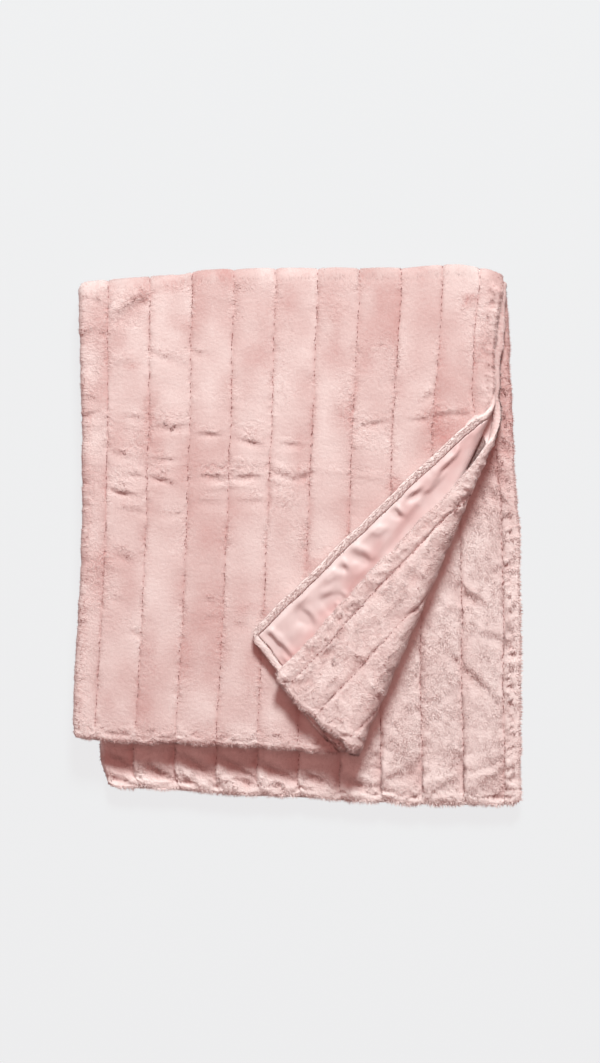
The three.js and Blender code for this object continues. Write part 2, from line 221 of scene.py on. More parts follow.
# Creases of the top layer, from its top edge to its hem.
TOP_CREASES = (
    Crease(-249, 341, 37, 34, 8, 2.7, 1.2),
    Crease(-188, 378, 30, 12, 7, 2.0, 1.2),
    Crease(-313, 301, 13, 27, 3, 2.0),
    Crease(-322, 285, 8, 50, 3, 1.6),
    Crease(-286, 298, 8, -18, 3, 2.0),
    Crease(-298, 350, 9, -50, 4, 2.0),
    Crease(-195, 265, 26, -24, 4, 1.8),
    Crease(-148, 272, 9, -10, 4, 2.0),
    Crease(-266, 259, 15, 0, 5, -1.4),
    Crease(-311, 206, 12, -18, 3, 1.6),
    Crease(-312, 178, 13, 30, 3, 1.8),
    Crease(-245, 176, 8, -8, 3.5, 3.0),
    Crease(-197, 162, 10, -38, 5, 3.2),
    Crease(-182, 161, 9, 38, 4.5, 3.4),
    Crease(-131, 151, 14, -6, 4, 3.4),
    Crease(-70, 140, 17, -20, 3.8, 3.4),
    Crease(-8, 135, 12, -12, 4, 2.8),
    Crease(-262, 121, 13, -20, 4, 2.2),
    Crease(-197, 114, 10, 0, 3.5, 2.8),
    Crease(-126, 87, 14, -6, 3.8, 3.8),
    Crease(-74, 88, 17, 2, 4, 3.8),
    Crease(-22, 92, 12, -30, 4.5, 3.0),
    Crease(8, 90, 15, 20, 5, 3.0),
    Crease(-263, 65, 19, -22, 4, 4.0),
    Crease(-203, 83, 16, -22, 3.8, 3.6),
    Crease(-243, 91, 9, -12, 4, 2.4),
    Crease(-104, 72, 26, 6, 5, -1.6),
    Crease(-65, 52, 18, 2, 5, 1.4),
    Crease(-132, 52, 14, -4, 5, 1.3),
    Crease(-318, 77, 7, 30, 3, 1.7),
    Crease(-311, 48, 10, -48, 3, 1.5),
    Crease(-246, 38, 22, -4, 4, 1.4),
    Crease(-186, 31, 14, -2, 4, 1.6),
    Crease(105, 87, 70, -7, 5, -1.1),
    Crease(109, 166, 20, 12, 4, 2.2),
    Crease(191, 205, 13, 46, 4, 1.8),
    Crease(184, 173, 13, 2, 4, 2.2),
    Crease(221, 182, 14, 12, 4, 2.6),
    Crease(245, 181, 10, 10, 4, 2.4),
    Crease(-259, -29, 15, -40, 4.5, 3.0),
    Crease(-272, -93, 8, -10, 4, 2.0),
    Crease(-131, -97, 9, -27, 4, 2.0),
    Crease(-128, -122, 7, 0, 4, 1.8),
    Crease(-86, -133, 8, 10, 4, 1.8),
    Crease(-238, -145, 9, -20, 4, 2.2),
    Crease(-316, -40, 10, 30, 3, 1.5),
    Crease(-318, -130, 10, -30, 3, 1.6),
    Crease(-320, -215, 10, 26, 3, 1.6),
    Crease(70, 330, 40, 70, 12, 0.8),
    Crease(-20, 250, 50, 80, 14, 0.7),
    Crease(150, 260, 45, 62, 12, 0.8),
    Crease(-150, -210, 45, 85, 12, 0.7),
    Crease(-60, -250, 50, 95, 12, 0.7),
)
ROUGH_PATCHES = (
    RoughPatch(-252, 318, 26, 20, 0.7),
    RoughPatch(-160, 378, 16, 16, 0.6),
    RoughPatch(-80, 368, 16, 14, 0.4),
    RoughPatch(250, 345, 16, 24, 0.7),
    RoughPatch(276, 308, 26, 44, 0.85),
    RoughPatch(262, 262, 14, 18, 0.6),
    RoughPatch(72, 200, 16, 44, 0.55),
    RoughPatch(95, 150, 14, 26, 0.5),
    RoughPatch(-18, 60, 22, 36, 0.7),
    RoughPatch(6, -10, 14, 40, 0.6),
    RoughPatch(-240, 150, 26, 22, 0.5),
    RoughPatch(-190, 172, 26, 14, 0.8),
    RoughPatch(-262, 84, 24, 24, 0.7),
    RoughPatch(-70, 160, 22, 14, 0.6),
    RoughPatch(-90, 100, 44, 13, 0.9, -0.08),
    RoughPatch(-72, 154, 18, 11, 0.9, -0.08),
    RoughPatch(-204, 96, 18, 10, 0.8),
    RoughPatch(-264, 78, 18, 11, 0.9),
    RoughPatch(-290, -60, 22, 60, 0.45),
    RoughPatch(20, 392, 40, 12, 0.4),
    RoughPatch(259, 352, 14, 12, 0.8, -0.34),
    RoughPatch(221, 155, 26, 32, 0.3, -0.2),
    RoughPatch(149, 71, 14, 14, 0.5, -0.22),
    RoughPatch(-124, 386, 22, 10, 0.2, -0.22),
    RoughPatch(-174, 316, 18, 15, 0.15, -0.18),
    RoughPatch(-183, 374, 26, 11, 0.7, -0.15),
    RoughPatch(-256, 367, 20, 12, 0.1, 0.1),
    RoughPatch(-204, 338, 14, 22, 0.1, 0.12),
    RoughPatch(-244, 254, 13, 9, 0.4, -0.18),
    RoughPatch(-294, 262, 9, 40, 0.3, -0.14),
    RoughPatch(-228, 354, 15, 12, 0.9, -0.2),
    RoughPatch(20, -44, 14, 12, 0.3, -0.2),
    RoughPatch(-67, -113, 28, 12, 0.2, -0.12),
    RoughPatch(-218, 196, 12, 30, 0.2, -0.2),
    RoughPatch(60, 300, 16, 40, 0.1, -0.15),
)
# Creases of the lower pair where it shows, below the hem and at the right.
LOWER_CREASES = (
    Crease(202, -372, 28, 23, 7, -2.6),
    Crease(274, -363, 32, 23, 7, -2.6),
    Crease(319, -342, 17, 29, 6, -2.2),
    Crease(270, -211, 46, -48, 8, 1.5),
    Crease(244, -190, 40, -45, 7, 1.1),
    Crease(296, -150, 28, -20, 6, 1.2),
    Crease(-266, -331, 26, -32, 9, 5.5, 0.1),
    Crease(-262, -362, 24, -24, 6, 2.6),
    Crease(-210, -346, 26, -26, 9, 5.2, 0.1),
    Crease(-152, -336, 27, -30, 9, 5.6, 0.1),
    Crease(-160, -364, 20, -38, 6, 3.2),
    Crease(-90, -341, 28, -33, 9, 5.6, 0.1),
    Crease(-78, -367, 15, -22, 4, 3.2),
    Crease(-31, -346, 27, -28, 9, 5.5, 0.1),
    Crease(-24, -374, 20, -24, 6, 2.4),
    Crease(28, -358, 27, -26, 9, 4.2, 0.1),
    Crease(88, -366, 24, -22, 8, 3.6),
    Crease(150, -355, 30, 30, 7, 1.8),
    Crease(300, 60, 20, -35, 6, 2.0),
    Crease(318, -40, 22, 30, 6, 2.0),
    Crease(262, -90, 30, -35, 7, 2.2),
    Crease(314, 180, 12, 40, 5, 2.4),
    Crease(318, 130, 12, -42, 5, 2.4),
)
# Creases of the fur on the corner that is turned back.
CORNER_CREASES = (
    Crease(88, -184, 20, -25, 7, 1.7, 1.0),
    Crease(112, -232, 13, -42, 6, 2.2, 1.0),
    Crease(43, -171, 14, 34, 6, 3.0),
    Crease(8, -214, 14, 36, 5, 3.0),
    Crease(28, -196, 12, 50, 5, 2.2),
    Crease(62, -142, 12, 48, 5, 2.0),
    Crease(41, -268, 9, -60, 5, 2.4),
    Crease(122, -163, 16, 24, 8, -2.2),
    Crease(60, -122, 10, -20, 4, 2.2),
    Crease(74, -110, 9, -28, 4, 2.2),
    Crease(140, -118, 16, 50, 8, 2.0),
    Crease(136, -196, 12, 28, 6, 1.6),
    Crease(72, -296, 12, -8, 5, 2.8),
    Crease(98, -280, 10, 56, 5, 2.6),
    Crease(60, -252, 22, -40, 8, -1.8),
    Crease(96, -132, 22, 44, 9, -2.0),
    Crease(30, -232, 16, 40, 7, -1.6),
    Crease(224, 29, 15, 30, 6, 2.4),
    Crease(244, 60, 15, 42, 6, 2.4),
    Crease(196, -14, 20, 62, 8, 2.6),
    Crease(178, -60, 14, -30, 7, 2.4),
    Crease(110, -74, 18, -36, 7, 2.4),
)
# Creases of the lining where it shows on the turned corner.
LINING_CREASES = (
    Crease(-29, -158, 32, -46, 6, 3.6, 0.6),
    Crease(-52, -178, 22, -48, 9, -2.6),
    Crease(-20, -186, 10, -46, 5, 2.4),
    Crease(70, -45, 8, -30, 5, 2.4),
    Crease(71, -94, 9, -40, 5, 3.0),
    Crease(57, -104, 8, -35, 5, 3.0),
    Crease(44, -88, 16, 20, 8, 2.4),
    Crease(22, -58, 13, -6, 5, 2.4),
    Crease(18, -120, 18, -50, 8, 2.4),
    Crease(4, -92, 18, 24, 9, -2.2),
    Crease(50, -62, 18, 34, 8, -2.0),
    Crease(96, -28, 22, -24, 8, 2.6),
    Crease(118, 6, 18, 10, 7, -2.0),
    Crease(150, 35, 9, -40, 5, 3.2),
    Crease(185, 34, 8, -60, 5, 3.2),
    Crease(199, 46, 8, -60, 5, 3.2),
    Crease(172, 62, 16, 30, 5, 3.0),
    Crease(211, 76, 24, 37, 4.5, 4.0, 0.8),
    Crease(206, 92, 20, 56, 5, -2.6),
    Crease(222, 104, 14, 40, 4, 3.2, 0.8),
    Crease(238, 118, 14, 62, 5, 3.2),
    Crease(246, 142, 12, 50, 4, 2.6),
)


class SmoothCurve:
    """A curve through given points that never swings past them."""

    def __init__(self, keys: Array, values: Array) -> None:
        """Works out the slope at each point: the harmonic mean of those beside it, or 0 at a peak.

        Args:
            keys: rising numbers.
            values: the curve's value at each key.
        """
        self.keys = np.asarray(keys, float)
        self.values = np.asarray(values, float)
        self.steps = np.diff(self.keys)
        chords = np.diff(self.values) / self.steps
        self.slopes = np.concatenate([chords[:1], np.zeros(len(chords) - 1), chords[-1:]])
        product = chords[1:] * chords[:-1]
        steady = product > 0
        total = np.where(steady, chords[1:] + chords[:-1], 1.0)
        self.slopes[1:-1] = np.where(steady, 2 * product / total, 0.0)

    def __call__(self, at: Array) -> Array:
        """The curve's values, by a cubic between each two keys and held level past the ends.

        Args:
            at: keys at which the curve is read.

        Returns:
            A value for each.
        """
        index = np.clip(np.searchsorted(self.keys, at, side="right") - 1, 0, len(self.steps) - 1)
        step = self.steps[index]
        t = np.clip((at - self.keys[index]) / step, 0, 1)
        low, high = self.values[index], self.values[index + 1]
        rise = (3 - 2 * t) * t * t
        start = t * (1 - t) ** 2 * step * self.slopes[index]
        end = t * t * (1 - t) * step * self.slopes[index + 1]
        return low + (high - low) * rise + start - end


def column(rows: tuple, key: str, name: str) -> SmoothCurve:
    """A smooth curve from two named columns of a table."""
    return SmoothCurve([getattr(row, key) for row in rows], [getattr(row, name) for row in rows])


def soft_noise(x: Array, y: Array, cell: float, seed: int) -> Array:
    """Smooth noise from -1 to 1: random numbers on a square lattice, joined by smooth steps.

    Args:
        x: first measure.
        y: second measure.
        cell: lattice spacing, in the same measure.
        seed: which noise.

    Returns:
        The noise at each point.
    """
    size = 128
    lattice = np.random.default_rng(seed).uniform(-1, 1, (size, size))
    gx, gy = np.broadcast_arrays(np.asarray(x) / cell, np.asarray(y) / cell)
    ix, iy = np.floor(gx).astype(int), np.floor(gy).astype(int)
    fx, fy = gx - ix, gy - iy
    sx, sy = fx * fx * (3 - 2 * fx), fy * fy * (3 - 2 * fy)
    low = lattice[ix % size, iy % size] * (1 - sx) + lattice[(ix + 1) % size, iy % size] * sx
    high = lattice[ix % size, (iy + 1) % size] * (1 - sx) + lattice[(ix + 1) % size, (iy + 1) % size] * sx
    return low * (1 - sy) + high * sy


def bent(x: Array, y: Array, reach: float, cell: float) -> tuple[Array, Array]:
    """Places moved by soft noise, so that shapes drawn over them get uneven outlines.

    Args:
        x: places of points seen from above.
        y: the same.
        reach: how far the noise moves them at most.
        cell: the noise's lattice spacing.

    Returns:
        The moved places.
    """
    return x + reach * soft_noise(x, y, cell, 61), y + reach * soft_noise(x, y, cell, 62)


def unit(vectors: Array) -> Array:
    """Rows of vectors, each made one long."""
    return vectors / (np.linalg.norm(vectors, axis=1, keepdims=True) + 1e-9)


def crease_frame(crease: Crease, x: Array, y: Array) -> tuple[Array, Array]:
    """Points measured along a crease in half lengths, and across it in half widths, upwards.

    Args:
        crease: the crease.
        x: places of points seen from above.
        y: the same.

    Returns:
        The measure along it, and the one across it.
    """
    slant = math.radians(crease.slant)
    dx, dy = x - crease.x, y - crease.y
    along = (dx * math.cos(slant) + dy * math.sin(slant)) / crease.half
    across = (dy * math.cos(slant) - dx * math.sin(slant)) / crease.wide
    return along, across


def crease_height(creases: tuple[Crease, ...], x: Array, y: Array) -> Array:
    """Height that the creases add.

    A crease bends a little by soft noise. Across it, its height is the curve s exp(-s s): a swell on the
    upper side and a drop on the lower side, which is the wider. Along it, it fades as a bell. A ridge is a
    bell both ways.

    Args:
        creases: the creases of one layer.
        x: places of points seen from above.
        y: the same.

    Returns:
        The height to add at each point, in millimetres.
    """
    height = np.zeros(np.broadcast(x, y).shape)
    x, y = bent(x, y, *CREASE_WANDER)
    for crease in creases:
        along, across = crease_frame(crease, x, y)
        ends = np.exp(-(along**2) * 1.2)
        if crease.deep < 0:
            height -= crease.deep * ends * np.exp(-(across**2))
            continue
        stretched = np.where(across < 0, 0.6 * across, across)
        swell = 2.33 * stretched * np.exp(-(stretched**2))
        height += crease.deep * ends * np.where(across < 0, swell, crease.lip * swell)
    return height


def crease_reach(creases: tuple[Crease, ...], x: Array, y: Array) -> Array:
    """How far the pile is ruffled beside the creases, from 0 to 1: a bell over each one's upper side.

    Args:
        creases: the creases of one layer.
        x: places of points seen from above.
        y: the same.

    Returns:
        A number for each point.
    """
    near = np.zeros(np.broadcast(x, y).shape)
    for crease in creases:
        along, across = crease_frame(crease, x, y)
        strength = min(1.0, abs(crease.deep) / 3.0)
        near = np.maximum(near, strength * np.exp(-(along**2) - ((across - 1.0) / 1.7) ** 2))
    return near


@dataclass
class FoldedCloth:
    """The cloth's sizes, and the way it is folded. Lengths are millimetres."""

    outer_width: float = 630.0
    inner_width: float = 621.0
    upper_length: float = 716.0
    lower_length: float = 786.0
    pile: float = 9.0
    seam_pitch: float = 61.4
    seam_count: int = 10
    outer_first_seam: float = 38.5
    inner_first_seam: float = 43.0
    steered_seams: tuple[int, ...] = (0, 5, 8)
    corner: float = 16.0
    side_radius: float = 1.85
    gap_between_pairs: float = 1.5
    gap_under_corner: float = 1.4
    roll_point: tuple[float, float] = (303.75, 207.75)
    roll_along: tuple[float, float] = (-0.396, -0.918)
    outer_roll_back: float = 14.25
    inner_roll_back: float = 3.0
    origin: tuple[float, float] = (0.35, 0.07)

    def __post_init__(self) -> None:
        """Works out the folds from the sizes, and the smooth curves from the tables."""
        self.pair_half = self.side_radius + self.pile
        self.top_radius = self.pair_half + self.gap_between_pairs / 2
        self.side_arc = math.pi * self.side_radius / 2
        self.top_arc = math.pi * self.top_radius / 2
        self.top_reach = self.top_radius + self.pair_half
        self.roll_z = self.top_reach + self.top_radius + self.pair_half + self.gap_under_corner / 2
        self.axis = np.array(self.roll_along) / math.hypot(*self.roll_along)
        self.across = np.array([-self.axis[1], self.axis[0]])
        self.sides = {
            (True, name): column(UPPER_SIDES, "down", name) for name in ("fold", "outer", "inner")
        } | {(False, name): column(LOWER_SIDES, "down", name) for name in ("fold", "outer", "inner")}
        self.runs = {name: column(UPPER_SEAMS, "down", name) for name in ("first", "sixth", "ninth")}
        self.top_edge = SmoothCurve(*zip(*TOP_EDGE))
        self.hems = {(True, name): column(UPPER_HEMS, "x", name) for name in ("outer", "inner")} | {
            (False, name): column(LOWER_HEMS, "x", name) for name in ("outer", "inner")
        }

    def seams(self) -> Array:
        """c of every stitched seam, from the inner cut edge to the outer one."""
        steps = np.arange(self.seam_count) * self.seam_pitch
        return np.concatenate([-(self.inner_first_seam + steps)[::-1], self.outer_first_seam + steps])

    def layer(self, c: Array, v: Array) -> Array:
        """Number of the layer that each cloth point lies in.

        Args:
            c: cloth points' first measure.
            v: their second measure.

        Returns:
            A Layer's number for each point.
        """
        upper = np.where(c >= 0, Layer.TOP.value, Layer.TURNED.value)
        lower = np.where(c >= 0, Layer.FLOOR.value, Layer.LOWER.value)
        return np.where(v >= 0, upper, lower)

    def half_width(self, c: Array) -> Array:
        """Width of the half of the cloth that c lies in."""
        return np.where(c >= 0, self.outer_width, self.inner_width)

    def half_length(self, v: Array) -> Array:
        """Length of the half of the cloth that v lies in."""
        return np.where(v >= 0, self.upper_length, self.lower_length)

    def side_gap(self, c: Array) -> Array:
        """Distance from each cloth point to the cut edge at its side."""
        return self.half_width(c) - np.abs(c)

    def hem_gap(self, v: Array) -> Array:
        """Distance from each cloth point to its hem."""
        return self.half_length(v) - np.abs(v)

    def seam_gap(self, c: Array) -> Array:
        """Distance from each cloth point to the nearest seam."""
        return np.min(np.abs(np.asarray(c)[..., None] - self.seams()), axis=-1)

    def inset(self, c: Array, v: Array) -> Array:
        """Distance from each cloth point to the nearest cut edge."""
        return np.minimum(self.side_gap(c), self.hem_gap(v))

    def near_top(self, v: Array) -> Array:
        """How far up the lower pair points lie, from 0, 400 mm below the top fold, to 1, 260 mm below."""
        return np.clip((400 + np.asarray(v)) / 140, 0, 1)

    def seam_sway(self, c: Array, v: Array) -> Array:
        """How far the stitching wanders off straight near each seam: noise along the seam, fading with
        the distance from it.

        Args:
            c: cloth points' first measure.
            v: their second measure.

        Returns:
            The move along c, in millimetres.
        """
        seams = self.seams()
        nearest = np.argmin(np.abs(np.asarray(c)[..., None] - seams), axis=-1)
        away = np.asarray(c) - seams[nearest]
        wander = 1.5 * soft_noise(nearest * 7.3, v, 48, 5) + 0.7 * soft_noise(nearest * 3.1 + 40, v, 15, 6)
        return wander * np.exp(-((away / 13) ** 2))

    def edge_waver(self, c: Array, v: Array) -> tuple[Array, Array]:
        """How far the cut edges wander in and out along c and v: noise along each edge, fading inwards.

        Args:
            c: cloth points' first measure.
            v: their second measure.

        Returns:
            The moves along c and along v, in millimetres.
        """
        layer = self.layer(c, v) * 61.0
        side = 1.3 * soft_noise(v, layer, 46, 7) + 1.0 * soft_noise(v, layer, 15, 8)
        side = side * np.where(self.layer(c, v) == Layer.TURNED.value, 1.7, 1.0)
        drawn_in = 2.6 * np.exp(-((self.seam_gap(c) / 8) ** 2))
        hem = 1.6 * soft_noise(c, layer, 50, 9) + 1.3 * soft_noise(c, layer, 15, 10) - drawn_in
        side = side * np.exp(-((self.side_gap(c) / 20) ** 2)) * np.sign(c)
        hem = hem * np.exp(-((self.hem_gap(v) / 20) ** 2)) * np.sign(v)
        return side, hem

    def round_corner(self, c: Array, v: Array) -> tuple[Array, Array]:
        """Cloth points moved so that each square corner becomes a round one, as a square maps to a disc.

        Args:
            c: cloth points' first measure.
            v: their second measure.

        Returns:
            The moved points' c and v.
        """
        size = self.corner
        p = np.clip(1 - self.side_gap(c) / size, 0, None)
        q = np.clip(1 - self.hem_gap(v) / size, 0, None)
        inside = (p > 0) & (q > 0)
        narrow = np.sqrt(np.clip(1 - np.minimum(q, 1) ** 2 / 2, 0, 1))
        short = np.sqrt(np.clip(1 - np.minimum(p, 1) ** 2 / 2, 0, 1))
        round_c = self.half_width(c) - size + size * p * narrow
        round_v = self.half_length(v) - size + size * q * short
        return np.where(inside, np.sign(c) * round_c, c), np.where(inside, np.sign(v) * round_v, v)

    def side_line(self, name: str, upper: Array, down: Array) -> Array:
        """x of a side line, by the upper pair's table or the lower one's, at shares of the way down."""
        return np.where(upper, self.sides[True, name](down), self.sides[False, name](down))

    def hem_line(self, c: Array, v: Array, x: Array) -> Array:
        """y of the hem of each point's layer, at x.

        Args:
            c: cloth points' first measure.
            v: their second measure.
            x: their places seen from above.

        Returns:
            y of the hem for each point.
        """
        upper = np.where(c >= 0, self.hems[True, "outer"](x), self.hems[True, "inner"](x))
        lower = np.where(c >= 0, self.hems[False, "outer"](x), self.hems[False, "inner"](x))
        return np.where(v >= 0, upper, lower)

    def x_of(self, along: Array, c: Array, v: Array, down: Array) -> Array:
        """x of points from their distance along the layer from the side fold's axis.

        The outer half passes three steered seams and its cut edge with straight lines between. The inner
        half is spread evenly.

        Args:
            along: distance of each point from the side fold's axis, along its layer.
            c: cloth points' first measure.
            v: their second measure.
            down: share of the way from the top fold to the hem.

        Returns:
            x of each point.
        """
        upper = v >= 0
        axis = self.side_line("fold", upper, down) + self.pair_half
        reach = self.side_line("inner", upper, down) - axis
        even = along * reach / (self.inner_width - self.side_arc)
        seam_down = np.where(upper, down, 0)
        steered = [self.outer_first_seam + k * self.seam_pitch for k in self.steered_seams]
        stops = [0.0] + [seam - self.side_arc for seam in steered]
        stops.append(self.outer_width - self.side_arc)
        places = [np.zeros_like(axis)] + [self.runs[name](seam_down) - axis for name in self.runs]
        places.append(self.side_line("outer", upper, down) - axis)
        spread = places[1] * along / stops[1]
        for low in range(1, len(stops) - 1):
            share = (along - stops[low]) / (stops[low + 1] - stops[low])
            line = places[low] + (places[low + 1] - places[low]) * share
            spread = np.where(along > stops[low], line, spread)
        return axis + np.where(along <= 0, along, np.where(c >= 0, spread, even))

    def flat(self, c: Array, v: Array, n: Array) -> Array:
        """Places after both folds, with the corner not yet turned back.

        The side fold is a half circle in the layer's width and height, and the top fold a half circle in
        its length and height.

        Args:
            c: cloth points' first measure.
            v: their second measure.
            n: their height over the cloth's line.

        Returns:
            x, y and z of each point, in millimetres.
        """
        c, v, n = np.broadcast_arrays(np.asarray(c, float), np.asarray(v, float), np.asarray(n, float))
        c, v = self.round_corner(c, v)
        radius = self.side_radius + n
        bend = np.clip(c / self.side_radius, -QUARTER, QUARTER)
        past = np.clip(np.abs(c) - self.side_arc, 0, None)
        along = np.where(past > 0, past, -radius * np.cos(bend))
        height = radius * np.sin(bend)
        down = np.clip(np.abs(v) - self.top_arc, 0, None) / (self.half_length(v) - self.top_arc)
        x = self.x_of(along, c, v, down)
        axis_y = self.top_edge(x) - self.top_reach
        turn = np.clip(v / self.top_radius, -QUARTER, QUARTER)
        reach = self.top_radius + height
        hem = self.hem_line(c, v, x)
        y = axis_y + (hem - axis_y) * down + np.where(down > 0, 0, reach * np.cos(turn))
        return np.stack([x, y, self.top_reach + reach * np.sin(turn)], axis=-1)

    def roll(self, c: Array) -> tuple[Array, Array]:
        """Where each point's layer starts to roll, and the roll's radius at the cloth's own line.

        Args:
            c: cloth points' first measure.

        Returns:
            The start of the roll and its radius, for each point.
        """
        outer = np.asarray(c) >= 0
        start = np.where(outer, -self.outer_roll_back, -self.inner_roll_back)
        cloth_z = self.top_reach + self.top_radius + np.where(outer, 1, -1) * self.side_radius
        return start, self.roll_z - cloth_z

    def past_roll(self, c: Array, v: Array) -> Array:
        """Distance of cloth points past the start of their layer's roll. Negative points stay flat.

        Args:
            c: cloth points' first measure.
            v: their second measure.

        Returns:
            A distance for each point, in millimetres.
        """
        plan = self.flat(c, v, 0.0)[..., :2] - np.array(self.roll_point)
        start, _ = self.roll(c)
        rolls = (np.asarray(v) > self.top_arc) & (np.abs(c) > self.side_arc)
        return np.where(rolls, plan @ self.across - start, -1e4)

    def place(self, c: Array, v: Array, n: Array) -> Array:
        """Places on the finished fold, in millimetres: flat first, then rolled over the slanting line.

        Past the start of the roll a point runs round a half circle, and after that back over the pair.

        Args:
            c: cloth points' first measure.
            v: their second measure.
            n: their height over the cloth's line.

        Returns:
            x, y and z of each point, in millimetres.
        """
        side, hem = self.edge_waver(c, v)
        c = np.asarray(c, float) + self.seam_sway(c, v) + side
        v = v + hem
        point = self.flat(c, v, n)
        past = np.broadcast_to(self.past_roll(c, v), point.shape[:-1])
        start, radius = self.roll(c)
        angle = np.clip(past / radius, 0, math.pi)
        reach = self.roll_z - point[..., 2]
        across = start + reach * np.sin(angle) - np.clip(past - math.pi * radius, 0, None)
        offset = point[..., :2] - np.array(self.roll_point)
        along = offset @ self.axis
        plan = np.array(self.roll_point) + along[..., None] * self.axis + across[..., None] * self.across
        height = self.roll_z - reach * np.cos(angle)
        rolled = np.concatenate([plan, height[..., None]], axis=-1)
        return np.where((past > 0)[..., None], rolled, point)

    def plan(self, c: Array, v: Array) -> tuple[Array, Array]:
        """x and y of points on the cloth's own line, seen from above."""
        point = self.place(c, v, 0.0)
        return point[..., 0], point[..., 1]

    def world(self, c: Array, v: Array, n: Array) -> Array:
        """Places in metres, in the part's frame."""
        return (self.place(c, v, n) + np.array([*self.origin, 0.0])) * MM


@dataclass
class FurRelief:
    """The heights of the fur's two faces over the cloth's line, as functions of the cloth point.

    The fur is seam_floor high in a seam and crest high on a rib, which rises within the shoulder and is
    lower by the crown beside its seams. The rim and edge sizes shape the cut edge, and the seams fade out
    at seam_end from it. Lengths are millimetres.
    """

    cloth: FoldedCloth
    seam_floor: float = 3.6
    crest: float = 8.1
    shoulder: float = 2.7
    crown: float = 0.8
    thinnest: float = 1.6
    rim_band: float = 10.0
    rim_drop: float = 2.0
    edge_outer: float = 3.4
    edge_inner: float = 2.2
    seam_end: float = 13.0
    hem_groove: float = 2.6
    # Strength of the painted shade on the top fold.
    painted_shade_strength: float = 0.85
    rib_tilt: float = 4.8
    tilt_band: float = 78.0
    crease_depth: float = 0.76

    def crease_layers(self, c: Array, v: Array) -> Array:
        """Height from the listed creases, each layer's own where it shows.

        Args:
            c: cloth points' first measure.
            v: their second measure.

        Returns:
            The height to add at each point, in millimetres.
        """
        cloth = self.cloth
        layer = cloth.layer(c, v)
        past = cloth.past_roll(c, v)
        x, y = cloth.plan(c, v)
        lying = (layer == Layer.TOP.value) & (past < 0)
        top = np.where(lying, self.crease_depth * crease_height(TOP_CREASES, x, y), 0)
        turned = (layer == Layer.TURNED.value) & (past > 0)
        corner = np.where(turned, crease_height(CORNER_CREASES, x, y), 0)
        low = np.where(layer == Layer.LOWER.value, crease_height(LOWER_CREASES, x, y), 0)
        return top + corner + low

    def curl(self, c: Array, v: Array) -> Array:
        """How curled the pile is, from 0, brushed flat, to 1.

        The top layer is mostly flat, and curls beside its creases, at its hem, on the rib at the side
        fold, and in patches. The other layers curl nearly all over.

        Args:
            c: cloth points' first measure.
            v: their second measure.

        Returns:
            A number for each point.
        """
        cloth = self.cloth
        x, y = cloth.plan(c, v)
        near = crease_reach(TOP_CREASES, x, y)
        x, y = bent(x, y, *PATCH_WANDER)
        for patch in ROUGH_PATCHES:
            near = np.maximum(near, patch.rough * patch.reach(x, y))
        hem = np.exp(-((cloth.hem_gap(v) / 27) ** 2))
        side = np.exp(-((np.asarray(c) / 30) ** 2))
        uneven = np.clip(0.45 + soft_noise(c * 0.1, v, 24, 52), 0, 1)
        seam = np.exp(-((cloth.seam_gap(c) / 7) ** 2)) * uneven
        patches = np.clip(soft_noise(c, v, 38, 51) - 0.45, 0, 1)
        flat = 0.08 + 0.95 * near + 0.85 * hem + 0.45 * side + 0.7 * patches + 0.75 * seam
        clouds = soft_noise(c, v, 26, 53)
        spread = np.exp(-((cloth.hem_gap(v) / 60) ** 2))
        lower = 0.34 + 0.25 * clouds + 0.25 * spread + 0.55 * cloth.near_top(v)
        layer = cloth.layer(c, v)
        rest = np.where(layer == Layer.LOWER.value, lower, 0.8 + 0.35 * clouds)
        return np.clip(np.where(layer == Layer.TOP.value, flat, rest), 0, 1)

    def painted_fold_shade(self, c: Array, v: Array) -> Array:
        """Painted shade on the top fold, from 0 to 1: how far its colour is darkened, for the extra light
        that it catches from the window compared with the flat layers.

        It is one less the ratio of the light that falls on a level surface to what falls on the fold, by the
        cosine of the angle to the light, made uneven by soft noise.

        Args:
            c: cloth points' first measure.
            v: their second measure.

        Returns:
            A number for each point.
        """
        turn = np.clip(np.asarray(v) / self.cloth.top_radius, -QUARTER, QUARTER)
        light = math.radians(WINDOW_ELEVATION)
        caught = np.maximum(np.cos(turn - light), math.sin(light))
        uneven = 0.85 + 0.35 * soft_noise(c, v * 1.4, 26, 54)
        return np.clip(self.painted_shade_strength * uneven, 0, 1) * (1 - math.sin(light) / caught)

    def hollow(self, c: Array, v: Array) -> Array:
        """How deep the fur's body lies below its full height, from 0 to 1, as in seams and creases.

        Args:
            c: cloth points' first measure.
            v: their second measure.

        Returns:
            A number for each point.
        """
        drop = (self.crest - 0.4 - self.outer(c, v)) / 4.2
        near_edge = np.clip(self.cloth.inset(c, v) / 14, 0, 1)
        return np.clip(drop * near_edge, 0, 1)

    def rim(self, c: Array, v: Array) -> Array:
        """Height limit near a cut edge: a rolled edge, and at the hems a shallow groove behind it.

        Args:
            c: cloth points' first measure.
            v: their second measure.

        Returns:
            The highest that the fur may be at each point, in millimetres.
        """
        keys = [0, 0.5, 1.5, 3, 5, 8, 12]
        values = [self.edge_outer, 4.7, 5.9, 6.9, 7.7, 8.4, 9.6]
        roll = SmoothCurve(keys, values)(self.cloth.inset(c, v))
        pair = np.sign(v)
        groove = self.hem_groove * np.clip(0.55 + 0.9 * soft_noise(c, pair * 9.0, 22, 17), 0, 1.3)
        wander = 15 + 4 * soft_noise(c, pair * 5.0, 30, 20) + 2 * soft_noise(c, pair * 3.0, 9, 20)
        return roll - groove * np.exp(-(((self.cloth.hem_gap(v) - wander) / 4) ** 2))

